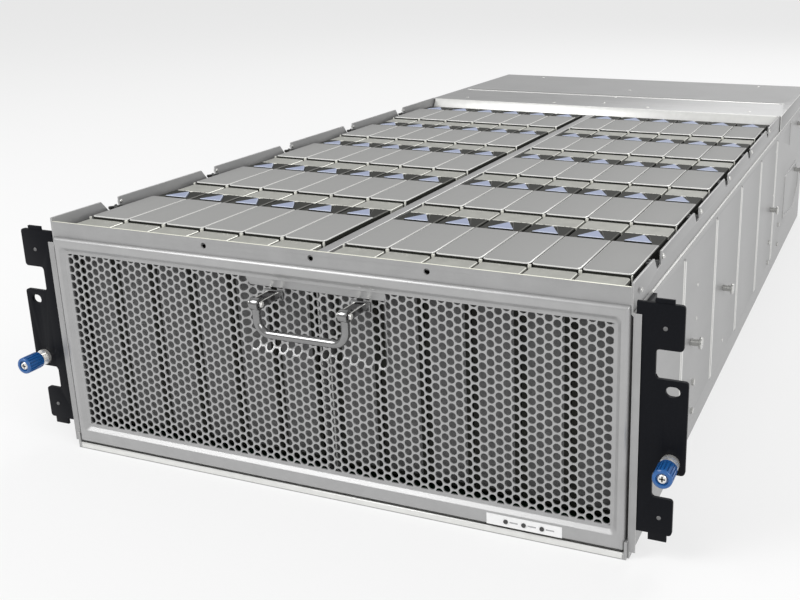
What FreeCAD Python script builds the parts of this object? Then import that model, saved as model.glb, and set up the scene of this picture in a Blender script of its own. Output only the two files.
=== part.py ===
"""Disk shelf enclosure: a top-loading 4U rack chassis with sixty disk drives.

The shelf is drawn in millimetres with +Z up. Lengths along Y are counted from the front face of the
bezel, and every piece is then moved back by half the body's depth, so the part's origin is the centre
of the bottom face. The rack's front is at -Y and its rear, with power supplies and fans, at +Y.
"""
import FreeCAD, Part
import math
import os
import re
import Sketcher

DIMENSIONS = (
    # the outer body
    ("body_width", 420.0, "across the outer faces of the side walls"),
    ("body_height", 175.0, "bottom of the pan to the top edge of the walls"),
    ("body_depth", 863.6, "bezel face to rear panel"),
    ("wall_sheet", 1.2, "sheet of walls, beam, bezel, covers and panels"),
    ("pan_sheet", 1.5, "sheet of the base pan"),
    ("slide_gap", 0.3, "gap between pieces that slide or swing past each other"),
    ("seam", 0.8, "open seam between neighbouring covers"),
    ("pin_gap", 0.05, "radial running clearance of pins and shafts"),
    # base pan and side walls
    ("pan_rim", 12.0, "height of the pan's side flanges"),
    ("lip_height", 4.5, "rolled front edge of the pan"),
    ("lip_depth", 4.0, "depth of that rolled edge"),
    ("band_height", 18.0, "upper band of each wall, stepped inwards"),
    ("band_step", 1.5, "how far the band steps inwards"),
    ("flange_reach", 3.5, "front flange of a wall beyond its outer face"),
    ("beam_setback", 2.5, "beam and wall edges behind the bezel face"),
    ("bead_width", 4.0, "stiffening bead across"),
    ("bead_rise", 0.9, "stiffening bead proud of its sheet"),
    ("bead_low", 18.0, "lower end of the side beads"),
    ("bead_clear", 7.0, "upper end of the side beads below the stepped band"),
    ("bead_first", 131.0, "first side bead behind the bezel face"),
    ("notch_first", 50.0, "front edge of the first lid notch"),
    ("notch_width", 18.0, "lid notch at the wall's top edge"),
    ("notch_lead", 7.0, "slanted lead of the lid notch"),
    ("notch_depth", 8.5, "lid notch depth"),
    # front beam and bezel
    ("beam_height", 13.5, "face of the front top beam"),
    ("beam_ledge", 14.8, "rear edge of the beam's ledge"),
    ("ledge_drop", 3.3, "ledge below the wall's top edge"),
    ("beam_hole", 2.0, "radius of the holes in the beam"),
    ("beam_hole_pitch", 80.8, "holes in the beam, centre to centre"),
    ("bezel_inset", 2.9, "bezel inside the body at each side"),
    ("bezel_depth", 11.0, "depth of the bezel's folded edges"),
    ("bezel_bevel", 3.0, "rolled edge of the bezel"),
    ("recess_side", 4.5, "solid border at the bezel's sides"),
    ("recess_top", 6.5, "solid border at the bezel's top"),
    ("recess_bottom", 9.5, "solid border at the bezel's bottom"),
    ("recess_depth", 3.0, "grille set behind the border"),
    ("grip_width", 108.0, "deeper hollow behind the bail handle"),
    ("grip_height", 52.0, "height of that hollow"),
    ("grip_depth", 4.0, "grip hollow behind the grille"),
    ("hex_pitch", 20.0, "grille holes, centre to centre"),
    ("hex_flats", 16.5, "grille hole across flats"),
    ("strip_width", 50.0, "status strip across"),
    ("strip_height", 7.3, "status strip height"),
    ("strip_sheet", 0.5, "status strip thickness"),
    ("strip_x", 143.2, "status strip centre"),
    ("strip_z", 10.2, "status strip centre height"),
    ("led_radius", 1.5, "status light"),
    ("led_pitch", 12.0, "status lights, centre to centre"),
    # bail handle on the bezel
    ("bail_span", 64.0, "legs of the bail, centre to centre"),
    ("bail_drop", 19.5, "pivot to the middle of the bar"),
    ("bail_bend", 9.0, "bend radius of the bail"),
    ("bail_rod", 2.75, "radius of the bail's rod"),
    ("bail_y", -13.0, "bail axis in front of the bezel face"),
    ("bail_below", 36.5, "bail axis below the top edge"),
    ("bail_pin", 1.5, "radius of the bail's pins"),
    ("bail_eye", 4.0, "radius of the bail's eyes"),
    ("eye_width", 6.6, "width of an eye"),
    ("cheek_sheet", 2.0, "bracket cheek"),
    # rack ears and thumbscrews
    ("rack_width", 482.6, "across both ears"),
    ("rack_holes", 465.1, "rack hole columns, centre to centre"),
    ("rack_unit", 44.45, "one rack unit"),
    ("ear_sheet", 2.5, "ear plate"),
    ("ear_front", 3.2, "ear face behind the bezel face"),
    ("ear_low", 20.0, "lower end of the ear"),
    ("ear_drop", 10.5, "upper end of the ear below the top edge"),
    ("ear_return", 38.0, "side flange of an ear along the wall"),
    ("ear_corner", 2.5, "rounded corners of an ear"),
    ("ear_neck", 12.0, "ear left standing beside its notches"),
    ("screw_z", 67.85, "thumbscrew height"),
    ("slot_length", 8.5, "oval rack hole end to end"),
    ("slot_radius", 3.25, "half the width of that hole"),
    ("knob_radius", 6.0, "thumbscrew knob"),
    ("knob_front", -17.0, "front face of the knob"),
    ("knob_length", 14.0, "length of the knob"),
    ("shank_radius", 3.0, "thumbscrew shank"),
    ("thread_radius", 2.5, "thumbscrew thread"),
    ("thread_end", 18.0, "rear tip of the thread behind the bezel face"),
    ("ferrule_radius", 5.6, "ferrule on the ear"),
    ("ferrule_length", 2.4, "ferrule height"),
    # studs and screws on the sides
    ("stud_neck", 2.6, "radius of a rail stud's neck"),
    ("stud_head", 4.4, "radius of a rail stud's head"),
    ("stud_length", 8.5, "stud proud of the wall"),
    ("stud_cap", 2.0, "thickness of a stud's head"),
    ("stud_z", 80.0, "height of the rail studs"),
    ("screw_radius", 2.6, "head of a machine screw"),
    ("screw_rise", 1.5, "height of a screw head"),
    # drive bay
    ("row_pitch", 115.0, "drive rows, front to rear"),
    ("rows", 5, "drive rows"),
    ("columns", 6, "drives on each side of the divider in one row"),
    ("bay_side", 9.5, "last drive to the outside of the wall"),
    ("bay_half_gap", 7.0, "first drive beside the centre line"),
    ("carrier_gap", 0.8, "gap between carriers side by side"),
    ("carrier_front", 9.3, "front edge of the first carrier's tongue"),
    ("carrier_length", 114.2, "tongue to rear edge of a carrier's top"),
    ("cap_front", 32.0, "front edge of the first carrier handle"),
    ("cap_length", 64.5, "carrier handle length"),
    ("cap_sheet", 3.8, "carrier handle thickness"),
    ("cap_corner", 3.0, "cut front corners of a carrier handle"),
    ("cap_drop", 5.0, "carrier handle below the walls' top edge"),
    ("tongue_drop", 0.8, "tongue below the handle's top"),
    ("latch_rise", 1.2, "latch button thickness"),
    ("latch_width", 18.7, "latch button across its base"),
    ("latch_length", 16.0, "latch button, base to point"),
    ("drive_length", 101.6, "disk drive front to rear"),
    ("drive_slack", 28.0, "body height left over by a standing disk drive"),
    ("drive_width", 26.1, "disk drive across"),
    ("board_z", 8.0, "underside of the backplane board"),
    ("board_sheet", 2.4, "backplane board"),
    ("plug_width", 5.5, "drive connector across"),
    ("plug_length", 33.0, "drive connector length"),
    ("plug_height", 8.0, "drive connector height"),
    ("standoff_radius", 3.5, "board standoff"),
    ("divider_width", 8.0, "centre divider"),
    ("divider_drop", 7.0, "divider below the walls' top edge"),
    ("crossbeam", 4.5, "cross beam between rows"),
    # rear compartment
    ("cover_back", 37.0, "front lip of the rear cover behind the five row pitches"),
    ("cover_lip", 9.5, "height of that lip"),
    ("bulkhead_back", 28.0, "bulkhead behind the five row pitches"),
    ("shelf_back", 47.0, "rear shelf behind the bulkhead"),
    ("deck_drop", 2.0, "shelf below the fans, under mid height"),
    ("deck_sheet", 1.2, "rear shelf"),
    ("io_more", 7.0, "half the I/O bay wider than a quarter of the body"),
    ("face_sheet", 1.5, "face plates of the rear modules"),
    ("module_back", 70.6, "power supplies and I/O modules behind the bulkhead"),
    ("fan_side", 3.0, "fan pitch narrower than a quarter of the body"),
    ("fan_gap", 3.0, "between fan modules"),
    ("fan_depth", 58.0, "fan module depth"),
    ("fan_wall", 11.5, "air way smaller than the space above mid height"),
    ("rotor_gap", 1.2, "blade tips inside the air way"),
    ("hub_radius", 17.0, "rotor hub"),
    ("hub_length", 30.0, "rotor hub length"),
    ("blades", 7, "blades of a rotor"),
    ("blade_sheet", 1.6, "rotor blade"),
    ("loop_reach", 14.0, "fan handle loop behind its face"),
    ("handle_bar", 6.0, "bar of the power supply handles"),
    ("lever_length", 78.0, "lever of an I/O module"),
)

doc = FreeCAD.newDocument("disk_shelf_enclosure")
dims = doc.addObject("Spreadsheet::Sheet", "dims")
for row, (alias, size, note) in enumerate(DIMENSIONS, start=1):
    dims.set("A%d" % row, note)
    dims.set("B%d" % row, str(size))
    dims.setAlias("B%d" % row, alias)
doc.recompute()

# sizes that follow from the ones above, as formulas
DERIVED = {
    "bead_high": "body_height - band_height - bead_clear",
    "bezel_width": "body_width - 2 * bezel_inset",
    "bail_z": "body_height - bail_below",
    "ear_high": "body_height - ear_drop",
    "column_pitch": "(body_width / 2 - bay_side - bay_half_gap) / columns",
    "drive_height": "body_height - drive_slack",
    "bulkhead_y": "row_pitch * rows + bulkhead_back",
    "cover_front": "row_pitch * rows + cover_back",
    "module_front": "bulkhead_y + shelf_back",
    "module_depth": "body_depth - bulkhead_y - module_back",
    "deck_z": "body_height / 2 - deck_drop",
    "io_half_width": "body_width / 4 + io_more",
    "fan_pitch": "body_width / 4 - fan_side",
    "fan_width": "fan_pitch - fan_gap",
    "fan_bore": "(body_height / 2 - fan_wall) / 2",
}
ALIASES = {alias for alias, size, note in DIMENSIONS}
FRONT_TO_CENTRE = "-body_depth / 2"
DIRECTIONS = {"XY": ("XY_Plane", 1), "XZ": ("XZ_Plane", -1), "YZ": ("YZ_Plane", 1)}
sub_parts = []


# ---------------------------------------------------------------- helpers

def size(alias):
    """A driving dimension as a number."""
    return float(getattr(dims, alias))


def sheet_name(match):
    """One word of a formula, as an expression reads it."""
    word = match.group()
    if word in DERIVED:
        return "(" + formula(DERIVED[word]) + ")"
    return "dims." + word if word in ALIASES else word


def formula(text):
    """An expression in which every size is read from the sheet."""
    return re.sub(r"[a-z_]+", sheet_name, text)


def place(item, x="0", y="0", z="0"):
    """Binds where an object stands; Y counts from the bezel face."""
    for axis, text in (("x", x), ("y", "(%s) %s" % (y, FRONT_TO_CENTRE)), ("z", z)):
        item.setExpression("Placement.Base." + axis, formula(text))


def finish(item, name):
    """Names an object as a sub-part of the shelf."""
    item.Label = name
    sub_parts.append(item)
    return item


def new_body(name, x="0", y="0", z="0"):
    """An empty body, which becomes the sub-part of that name."""
    body = doc.addObject("PartDesign::Body", name)
    body.AllowCompound = True
    place(body, x, y, z)
    return finish(body, name)


def new_sketch(body, plane, level):
    """A sketch parallel to one of the body's own planes, at that level along X, Y or Z."""
    role, sign = DIRECTIONS[plane]
    sketch = body.newObject("Sketcher::SketchObject", "sketch")
    sketch.AttachmentSupport = [(item, "") for item in body.Origin.OriginFeatures if item.Role == role]
    sketch.MapMode = "FlatFace"
    sketch.setExpression("AttachmentOffset.Base.z", formula("%d * (%s)" % (sign, level)))
    return sketch


def fix_point(sketch, edge, corner, x, y):
    """Ties one point of a sketch to the sheet, from where it was first drawn."""
    start = sketch.getPoint(edge, corner)
    for kind, text, value in (("DistanceX", x, start.x), ("DistanceY", y, start.y)):
        index = sketch.addConstraint(Sketcher.Constraint(kind, -1, 1, edge, corner, value))
        sketch.setExpression("Constraints[%d]" % index, formula(text))


def add_outline(sketch, points):
    """Draws a closed outline through points given as pairs of formulas."""
    first = sketch.GeometryCount
    count = len(points)
    turn = 2 * math.pi / count
    corners = [FreeCAD.Vector(math.cos(turn * i), math.sin(turn * i), 0) for i in range(count)]
    for i in range(count):
        sketch.addGeometry(Part.LineSegment(corners[i], corners[(i + 1) % count]))
    for i in range(count):
        sketch.addConstraint(Sketcher.Constraint("Coincident", first + i, 2, first + (i + 1) % count, 1))
    for i, (x, y) in enumerate(points):
        fix_point(sketch, first + i, 1, x, y)


def add_circle(sketch, x, y, radius):
    """Draws a circle whose centre and radius are formulas."""
    edge = sketch.addGeometry(Part.Circle(FreeCAD.Vector(0, 0, 0), FreeCAD.Vector(0, 0, 1), 1))
    fix_point(sketch, edge, 3, x, y)
    index = sketch.addConstraint(Sketcher.Constraint("Radius", edge, 1.0))
    sketch.setExpression("Constraints[%d]" % index, formula(radius))


def hexagon(x, y, radius):
    """The six corners of an upright hexagon."""
    corners = []
    for corner in range(6):
        turn = math.radians(60 * corner)
        corners.append(("%s + %.5f * %s" % (x, math.cos(turn), radius),
                        "%s + %.5f * %s" % (y, math.sin(turn), radius)))
    return corners


def rectangle(x0, y0, x1, y1):
    """The four corners of a rectangle."""
    return [(x0, y0), (x1, y0), (x1, y1), (x0, y1)]


def pad(body, plane, level, length, outlines=(), circles=()):
    """Adds material from that level onwards, towards +X, +Y or +Z."""
    return extrude("PartDesign::Pad", body, plane, level, length, outlines, circles, DIRECTIONS[plane][1] < 0)


def pocket(body, plane, level, length, outlines=(), circles=()):
    """Removes material from that level onwards, towards +X, +Y or +Z."""
    return extrude("PartDesign::Pocket", body, plane, level, length, outlines, circles,
                   DIRECTIONS[plane][1] > 0)


def extrude(kind, body, plane, level, length, outlines, circles, turned):
    """The pad or pocket behind the two functions above."""
    sketch = new_sketch(body, plane, level)
    for points in outlines:
        add_outline(sketch, points)
    for circle in circles:
        add_circle(sketch, *circle)
    feature = body.newObject(kind, "feature")
    feature.Profile = sketch
    feature.setExpression("Length", formula(length))
    feature.Reversed = turned
    body.Tip = feature
    return feature


def repeat(body, feature, count, pitch):
    """Repeats a feature along Y, which is the first axis of its YZ sketch."""
    pattern = body.newObject("PartDesign::LinearPattern", "pattern")
    pattern.Originals = [feature]
    pattern.Direction = (feature.Profile[0], ["H_Axis"])
    pattern.Mode = "Spacing"
    pattern.setExpression("Occurrences", formula(count))
    pattern.setExpression("Offset", formula(pitch))
    body.Tip = pattern
    return pattern


def mirror_left(body, features):
    """Repeats features on the other side of the YZ plane."""
    pattern = body.newObject("PartDesign::Mirrored", "mirrored")
    pattern.Originals = features
    pattern.MirrorPlane = ([item for item in body.Origin.OriginFeatures if item.Role == "YZ_Plane"][0], [""])
    body.Tip = pattern
    return pattern


def revolve(body, points):
    """Turns an outline of (radius, length) pairs about the body's Y axis."""
    sketch = new_sketch(body, "XY", "0")
    add_outline(sketch, points)
    feature = body.newObject("PartDesign::Revolution", "turned")
    feature.Profile = sketch
    feature.ReferenceAxis = (sketch, ["V_Axis"])
    feature.Angle = 360
    body.Tip = feature
    return feature


def primitive(kind, name, sizes, x="0", y="0", z="0"):
    """A Part primitive with its sizes and place bound to the sheet; its Y is not moved to the centre."""
    item = doc.addObject(kind, name)
    for key, text in sizes.items():
        item.setExpression(key, formula(text))
    for axis, text in (("x", x), ("y", y), ("z", z)):
        item.setExpression("Placement.Base." + axis, formula(text))
    return item


def block(name, x0, x1, y0, y1, z0, z1):
    """A Part box between two corners."""
    sizes = {"Length": "(%s) - (%s)" % (x1, x0), "Width": "(%s) - (%s)" % (y1, y0),
             "Height": "(%s) - (%s)" % (z1, z0)}
    return primitive("Part::Box", name, sizes, x0, y0, z0)


def combine(kind, name, items):
    """A boolean of Part objects: a cut takes the others away from the first."""
    item = doc.addObject(kind, name)
    if kind == "Part::Cut":
        item.Base, item.Tool = items
    else:
        item.Shapes = items
    return item


def copies(name, shape, offsets):
    """A sub-part of several separate solids, all copies of one shape."""
    item = doc.addObject("Part::Feature", name)
    item.Shape = Part.makeCompound([shape.translated(FreeCAD.Vector(*offset)) for offset in offsets])
    place(item)
    return finish(item, name)


# ---------------------------------------------------------------- chassis

def side_points(side, points):
    """Mirrors (x, y) formulas for the left wall, where side is -1."""
    return [("%d * (%s)" % (side, x), y) for x, y in points]


def make_base_pan():
    """The tray that carries everything, with a rolled front lip and standoffs for the backplane."""
    body = new_body("base_pan")
    inside = "body_width / 2 - wall_sheet"
    outline = [("-(%s)" % inside, "0"), (inside, "0"), (inside, "pan_rim"),
               (inside + " - pan_sheet", "pan_rim"),
               (inside + " - pan_sheet", "pan_sheet"), ("pan_sheet - (%s)" % inside, "pan_sheet"),
               ("pan_sheet - (%s)" % inside, "pan_rim"), ("-(%s)" % inside, "pan_rim")]
    pad(body, "XZ", "0", "body_depth", [outline])
    lip = [("0", "0"), ("lip_depth", "0"), ("lip_depth", "lip_height - pan_sheet"),
           ("lip_depth / 2", "lip_height"),
           ("pan_sheet / 2", "lip_height"), ("0", "lip_height - pan_sheet / 2")]
    pad(body, "YZ", "-bezel_width / 2", "bezel_width", [lip])
    posts = []
    for row_index in range(int(size("rows")) + 1):
        for column in (-1, 0, 1):
            y = "carrier_front + row_pitch * %d - crossbeam" % row_index if row_index else "cap_front"
            posts.append(hexagon("%d * (column_pitch * columns)" % column, y, "standoff_radius"))
    pad(body, "XY", "pan_sheet / 2", "board_z - pan_sheet / 2", posts)


def make_side_wall(name, side):
    """One side wall: a stepped upper band with lid notches, a front flange and stiffening beads."""
    body = new_body(name)
    outer = "body_width / 2"
    band = "body_width / 2 - band_step"
    step = "body_height - band_height"
    profile = [(outer + " - wall_sheet", "0"), (outer, "0"), (outer, step + " - band_step"), (band, step),
               (band, "body_height"), (band + " - wall_sheet", "body_height"),
               (band + " - wall_sheet", step + " - wall_sheet / 2"),
               (outer + " - wall_sheet", step + " - band_step - wall_sheet / 2")]
    pad(body, "XZ", "beam_setback", "body_depth - beam_setback", [side_points(side, profile)])
    flange = rectangle(outer + " - wall_sheet", "beam_setback", outer + " + flange_reach", "ear_front")
    pad(body, "XY", "lip_height", step + " - lip_height", [side_points(side, flange)])
    top = "body_height + seam"
    floor = "body_height - notch_depth"
    notch = [("notch_first", top), ("notch_first + notch_width", top), ("notch_first + notch_width", floor),
             ("notch_first + notch_lead", floor), ("notch_first", "body_height")]
    reach = "%d * (body_width / 2) - flange_reach" % side
    cut = pocket(body, "YZ", reach, "2 * flange_reach", [notch])
    repeat(body, cut, "rows", "row_pitch")
    under_cover = rectangle("cover_front - seam", "body_height - bead_rise - wall_sheet", "body_depth + seam",
                            top)
    pocket(body, "YZ", reach, "2 * flange_reach", [under_cover])
    level = outer if side > 0 else "-(%s) - bead_rise" % outer
    bead = pad(body, "YZ", level, "bead_rise", [long_bead("bead_first", "bead_low", "bead_high")])
    repeat(body, bead, "rows", "row_pitch")
    rear = "(body_depth - cover_front)"
    pad(body, "YZ", level, "bead_rise",
        [long_bead("cover_front + %s * 0.37" % rear, "bead_high - rack_unit / 2", "bead_high")])
    frames = []
    for inset in ("0", "bead_width"):
        front = "cover_front + %s * 0.28 + %s" % (rear, inset)
        back = "cover_front + %s * 0.86 - %s" % (rear, inset)
        slope = "cover_front + %s * 0.69 - %s / 2" % (rear, inset)
        low, high = "deck_z * 0.33 + " + inset, "deck_z * 1.08 - " + inset
        frames.append([(front, low + " + bead_width * 3"), (slope, low), (back, low + " + rack_unit / 2"),
                       (back, high + " - rack_unit / 2"), (slope, high), (front, high)])
    pad(body, "YZ", level, "bead_rise", frames)


def long_bead(y, low, high):
    """The outline of an upright bead with pointed ends."""
    half = "bead_width / 2"
    return [("%s - %s" % (y, half), low), (y, "%s - %s" % (low, half)), ("%s + %s" % (y, half), low),
            ("%s + %s" % (y, half), high), (y, "%s + %s" % (high, half)), ("%s - %s" % (y, half), high)]


def make_front_top_beam():
    """The folded beam across the front, above the bezel, with its ledge under the lid."""
    body = new_body("front_top_beam")
    face = "beam_setback"
    back = "beam_setback + wall_sheet"
    low = "body_height - beam_height"
    ledge = "body_height - ledge_drop"
    profile = [(face, low), (face, "body_height"), (back + " + wall_sheet / 2", "body_height"),
               (back + " + ledge_drop", ledge), ("beam_ledge", ledge),
               ("beam_ledge", ledge + " - wall_sheet"),
               (back + " + ledge_drop - wall_sheet / 2", ledge + " - wall_sheet"),
               (back + " + wall_sheet / 4", "body_height - wall_sheet"), (back, "body_height - wall_sheet"),
               (back, low)]
    half = "body_width / 2 - band_step - wall_sheet"
    pad(body, "YZ", "-(%s)" % half, "2 * (%s)" % half, [profile])
    holes = [("beam_hole_pitch * %d" % column, low + " + beam_height / 2", "beam_hole")
             for column in (-1, 0, 1)]
    pocket(body, "XZ", "0", back + " + wall_sheet / 2", circles=holes)


def make_centre_divider():
    """The folded channel between the left and right drives."""
    body = new_body("centre_divider")
    half = "divider_width / 2"
    top = "body_height - divider_drop"
    low = "board_z + board_sheet"
    profile = [("-%s" % half, low), ("-%s" % half, top), (half, top), (half, low),
               (half + " - wall_sheet", low),
               (half + " - wall_sheet", top + " - wall_sheet"),
               ("wall_sheet - %s" % half, top + " - wall_sheet"),
               ("wall_sheet - %s" % half, low)]
    pad(body, "XZ", "bezel_depth + 2 * seam", "row_pitch * rows", [profile])


def make_cross_beams():
    """Upright plates between the rows, with windows for the air."""
    body = new_body("cross_beams")
    inner = "divider_width / 2"
    outer = "body_width / 2 - wall_sheet"
    low = "pan_rim"
    high = "body_height - band_height - band_step - wall_sheet"
    middle = "(carrier_front + row_pitch - carrier_gap / 2)"
    plates = []
    for side in (-1, 1):
        plates.append(side_points(side, rectangle(inner, low, outer, high)))
        for window in range(3):
            x0 = "%s + column_pitch * %g" % (inner, 2 * window + 0.4)
            x1 = "%s + column_pitch * %g" % (inner, 2 * window + 1.7)
            plates.append(side_points(side,
                                      rectangle(x0, low + " + rack_unit / 2", x1, high + " - rack_unit / 2")))
    for row_index in range(int(size("rows")) - 1):
        start = "%s + row_pitch * %d - crossbeam / 2" % (middle, row_index)
        pad(body, "XZ", start, "crossbeam", plates)


def make_backplane():
    """The long circuit board under the drives."""
    body = new_body("backplane_board")
    half = "column_pitch * columns + bay_half_gap"
    outline = rectangle("-(%s)" % half, "carrier_front", half, "bulkhead_y - seam")
    pad(body, "XY", "board_z", "board_sheet", [outline])


def make_bulkhead():
    """The wall between drive bay and rear, with windows for the air."""
    body = new_body("bulkhead")
    half = "body_width / 2 - band_step - wall_sheet"
    rim = "body_width / 2 - wall_sheet - pan_sheet"
    high = "body_height - cover_lip - seam"
    openings = [rectangle("-(%s)" % rim, "pan_sheet", rim, high)]
    for column in range(-2, 2):
        x0 = "fan_pitch * %d + seam * 5" % column
        x1 = "fan_pitch * %d - seam * 5" % (column + 1)
        openings.append(rectangle(x0, "deck_z + seam * 8", x1, high + " - seam * 8"))
        openings.append(rectangle(x0, "board_z + seam * 8", x1, "deck_z - seam * 8"))
    pad(body, "XZ", "bulkhead_y", "wall_sheet", openings)


def make_rear_cover():
    """The fixed cover of the rear compartment, folded over the walls, with a front lip and one bead."""
    body = new_body("rear_top_cover")
    outer = "body_width / 2"
    inner = "body_width / 2 - wall_sheet"
    top = "body_height - bead_rise"
    low = "body_height - band_height"
    profile = [("-(%s)" % outer, low), ("-(%s)" % outer, top), (outer, top), (outer, low), (inner, low),
               (inner, top + " - wall_sheet"), ("-(%s)" % inner, top + " - wall_sheet"),
               ("-(%s)" % inner, low)]
    pad(body, "XZ", "cover_front", "body_depth - cover_front", [profile])
    half = "body_width / 2 - band_step - wall_sheet - seam"
    lip = rectangle("-(%s)" % half, "body_height - cover_lip", half, top + " - wall_sheet / 2")
    pad(body, "XZ", "cover_front", "wall_sheet", [lip])
    y = "cover_front + row_pitch * 0.76"
    end = "body_width / 2 - bead_width * 2"
    bead = [("-(%s)" % end, y), ("bead_width / 2 - (%s)" % end, y + " - bead_width / 2"),
            (end + " - bead_width / 2", y + " - bead_width / 2"), (end, y),
            (end + " - bead_width / 2", y + " + bead_width / 2"),
            ("bead_width / 2 - (%s)" % end, y + " + bead_width / 2")]
    pad(body, "XY", top, "bead_rise", [bead])


# ---------------------------------------------------------------- front bezel and what it carries

def bezel_form(name, inset):
    """The solid that the bezel's sheet is drawn over, smaller by inset and as far behind the front."""
    half = "(bezel_width / 2 - %s)" % inset
    low = "(lip_height + seam + %s)" % inset
    high = "(body_height - beam_height - %s)" % inset
    bevel = "bezel_bevel"
    rolled = primitive("Part::Wedge", name + "_rolled", {
        "Xmin": "-%s + %s" % (half, bevel), "Xmax": "%s - %s" % (half, bevel),
        "Zmin": low + " + " + bevel, "Zmax": high + " - " + bevel, "Ymin": "0", "Ymax": bevel,
        "X2min": "-" + half, "X2max": half, "Z2min": low, "Z2max": high}, y=inset)
    rear = block(name + "_rear", "-" + half, half, "%s + %s" % (inset, bevel), "bezel_depth + seam", low,
                 high)
    recess = tapered_hollow(name + "_recess", inset, "-bezel_width / 2 + recess_side",
                            "bezel_width / 2 - recess_side",
                            "lip_height + seam + recess_bottom", "body_height - beam_height - recess_top",
                            "0", "recess_depth", "recess_depth")
    grip_top = "body_height - beam_height - recess_top - recess_depth"
    grip = tapered_hollow(name + "_grip", inset, "-grip_width / 2", "grip_width / 2",
                          grip_top + " - grip_height",
                          grip_top, "recess_depth", "grip_depth", "grip_depth")
    solid = combine("Part::MultiFuse", name + "_solid", [rolled, rear])
    hollow = combine("Part::MultiFuse", name + "_hollow", [recess, grip])
    return combine("Part::Cut", name, [solid, hollow])


def tapered_hollow(name, inset, x0, x1, z0, z1, start, depth, slope):
    """A hollow whose floor is smaller than its mouth by the slope on each side."""
    return primitive("Part::Wedge", name, {
        "Xmin": x0, "Xmax": x1, "Zmin": z0, "Zmax": z1, "Ymin": start, "Ymax": "%s + %s" % (start, depth),
        "X2min": "%s + %s" % (x0, slope), "X2max": "%s - %s" % (x1, slope),
        "Z2min": "%s + %s" % (z0, slope), "Z2max": "%s - %s" % (z1, slope)}, y=inset)


def hexagon_prism(x, z, flats, depth):
    """An upright-column grille hole, with flats above and below."""
    radius = flats / math.sqrt(3)
    corners = [FreeCAD.Vector(x + radius * math.cos(math.radians(60 * i)), -depth,
                              z + radius * math.sin(math.radians(60 * i))) for i in range(7)]
    return Part.Face(Part.makePolygon(corners)).extrude(FreeCAD.Vector(0, 3 * depth, 0))


def hexagon_field():
    """All the grille's holes: upright columns, every second one half a pitch higher."""
    pitch, flats = size("hex_pitch"), size("hex_flats")
    step = pitch * math.sqrt(3) / 2
    radius = flats / math.sqrt(3)
    half = size("body_width") / 2 - size("bezel_inset") - size("recess_side") - size("recess_depth")
    low = (size("lip_height") + size("seam") + size("recess_bottom") + size("recess_depth")
           + size("wall_sheet"))
    high = (size("body_height") - size("beam_height") - size("recess_top") - size("recess_depth")
            - size("wall_sheet"))
    centre_z = (low + high) / 2
    side_columns = int((half - radius) / step)
    prisms = []
    for column in range(-side_columns, side_columns + 1):
        shift = pitch / 2 if column % 2 else 0
        side_rows = int((high - low) / pitch) + 1
        for line in range(-side_rows, side_rows + 1):
            x, z = column * step, centre_z + shift + line * pitch
            inside = low < z - flats / 2 and z + flats / 2 < high
            if inside and not meets_bracket(x, z, radius):
                prisms.append(hexagon_prism(x, z, flats, size("bezel_depth")))
    return prisms


def meets_bracket(x, z, radius):
    """Whether a grille hole would undercut a foot of the bail's brackets."""
    foot = size("eye_width") / 2 + size("cheek_sheet") + size("seam")
    beside = abs(abs(x) - size("bail_span") / 2) < foot + radius
    bail_z = size("body_height") - size("bail_below")
    return beside and abs(z - bail_z) < size("bail_eye") + size("seam") + radius


def make_front_bezel():
    """The drawn and perforated steel bezel: a rolled edge, a recessed grille and a deeper grip hollow."""
    sheet = combine("Part::Cut", "bezel_sheet", [bezel_form("bezel_outside", "0"),
                                                 bezel_form("bezel_inside", "wall_sheet")])
    holes = doc.addObject("Part::Feature", "grille_holes")
    holes.Shape = Part.makeCompound(hexagon_field())
    bezel = combine("Part::Cut", "front_bezel", [sheet, holes])
    place(bezel)
    finish(bezel, "front_bezel")


def make_status_strip():
    """The pale strip at the bezel's lower right, with three lights."""
    strip = new_body("status_strip")
    low = "strip_z - strip_height / 2"
    high = "strip_z + strip_height / 2"
    pad(strip, "XZ", "-strip_sheet", "strip_sheet",
        [rectangle("strip_x - strip_width / 2", low, "strip_x + strip_width / 2", high)])
    lights = new_body("status_lights")
    pad(lights, "XZ", "-2 * strip_sheet", "strip_sheet",
        circles=[("strip_x + led_pitch * %d" % place_index, "strip_z", "led_radius")
                 for place_index in (-1, 0, 1)])


def make_bail_brackets():
    """Two forked brackets on the grip hollow's floor, each with its pin."""
    body = new_body("handle_brackets")
    floor = "recess_depth + grip_depth"
    features = []
    middle = "bail_span / 2"
    inner = "eye_width / 2"
    outer = "eye_width / 2 + cheek_sheet"
    low, high = "bail_z - bail_eye", "bail_z + bail_eye"
    tip = "bail_y - bail_eye * 0.6"
    cheek = [(floor, low), (floor, high), ("bail_y", high), (tip, "bail_z + bail_eye / 2"),
             (tip, "bail_z - bail_eye / 2"), ("bail_y", low)]
    features.append(pad(body, "YZ", "%s - %s" % (middle, outer), "2 * (%s)" % outer, [cheek]))
    slot = rectangle("%s - %s" % (middle, inner), "bail_y - bail_eye * 2",
                     "%s + %s" % (middle, inner), "bail_y + bail_eye + 2 * slide_gap")
    features.append(pocket(body, "XY", low, "2 * bail_eye", [slot]))
    features.append(pad(body, "YZ", "%s - %s" % (middle, outer), "2 * (%s)" % outer,
                        circles=[("bail_y", "bail_z", "bail_pin")]))
    mirror_left(body, features)


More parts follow.
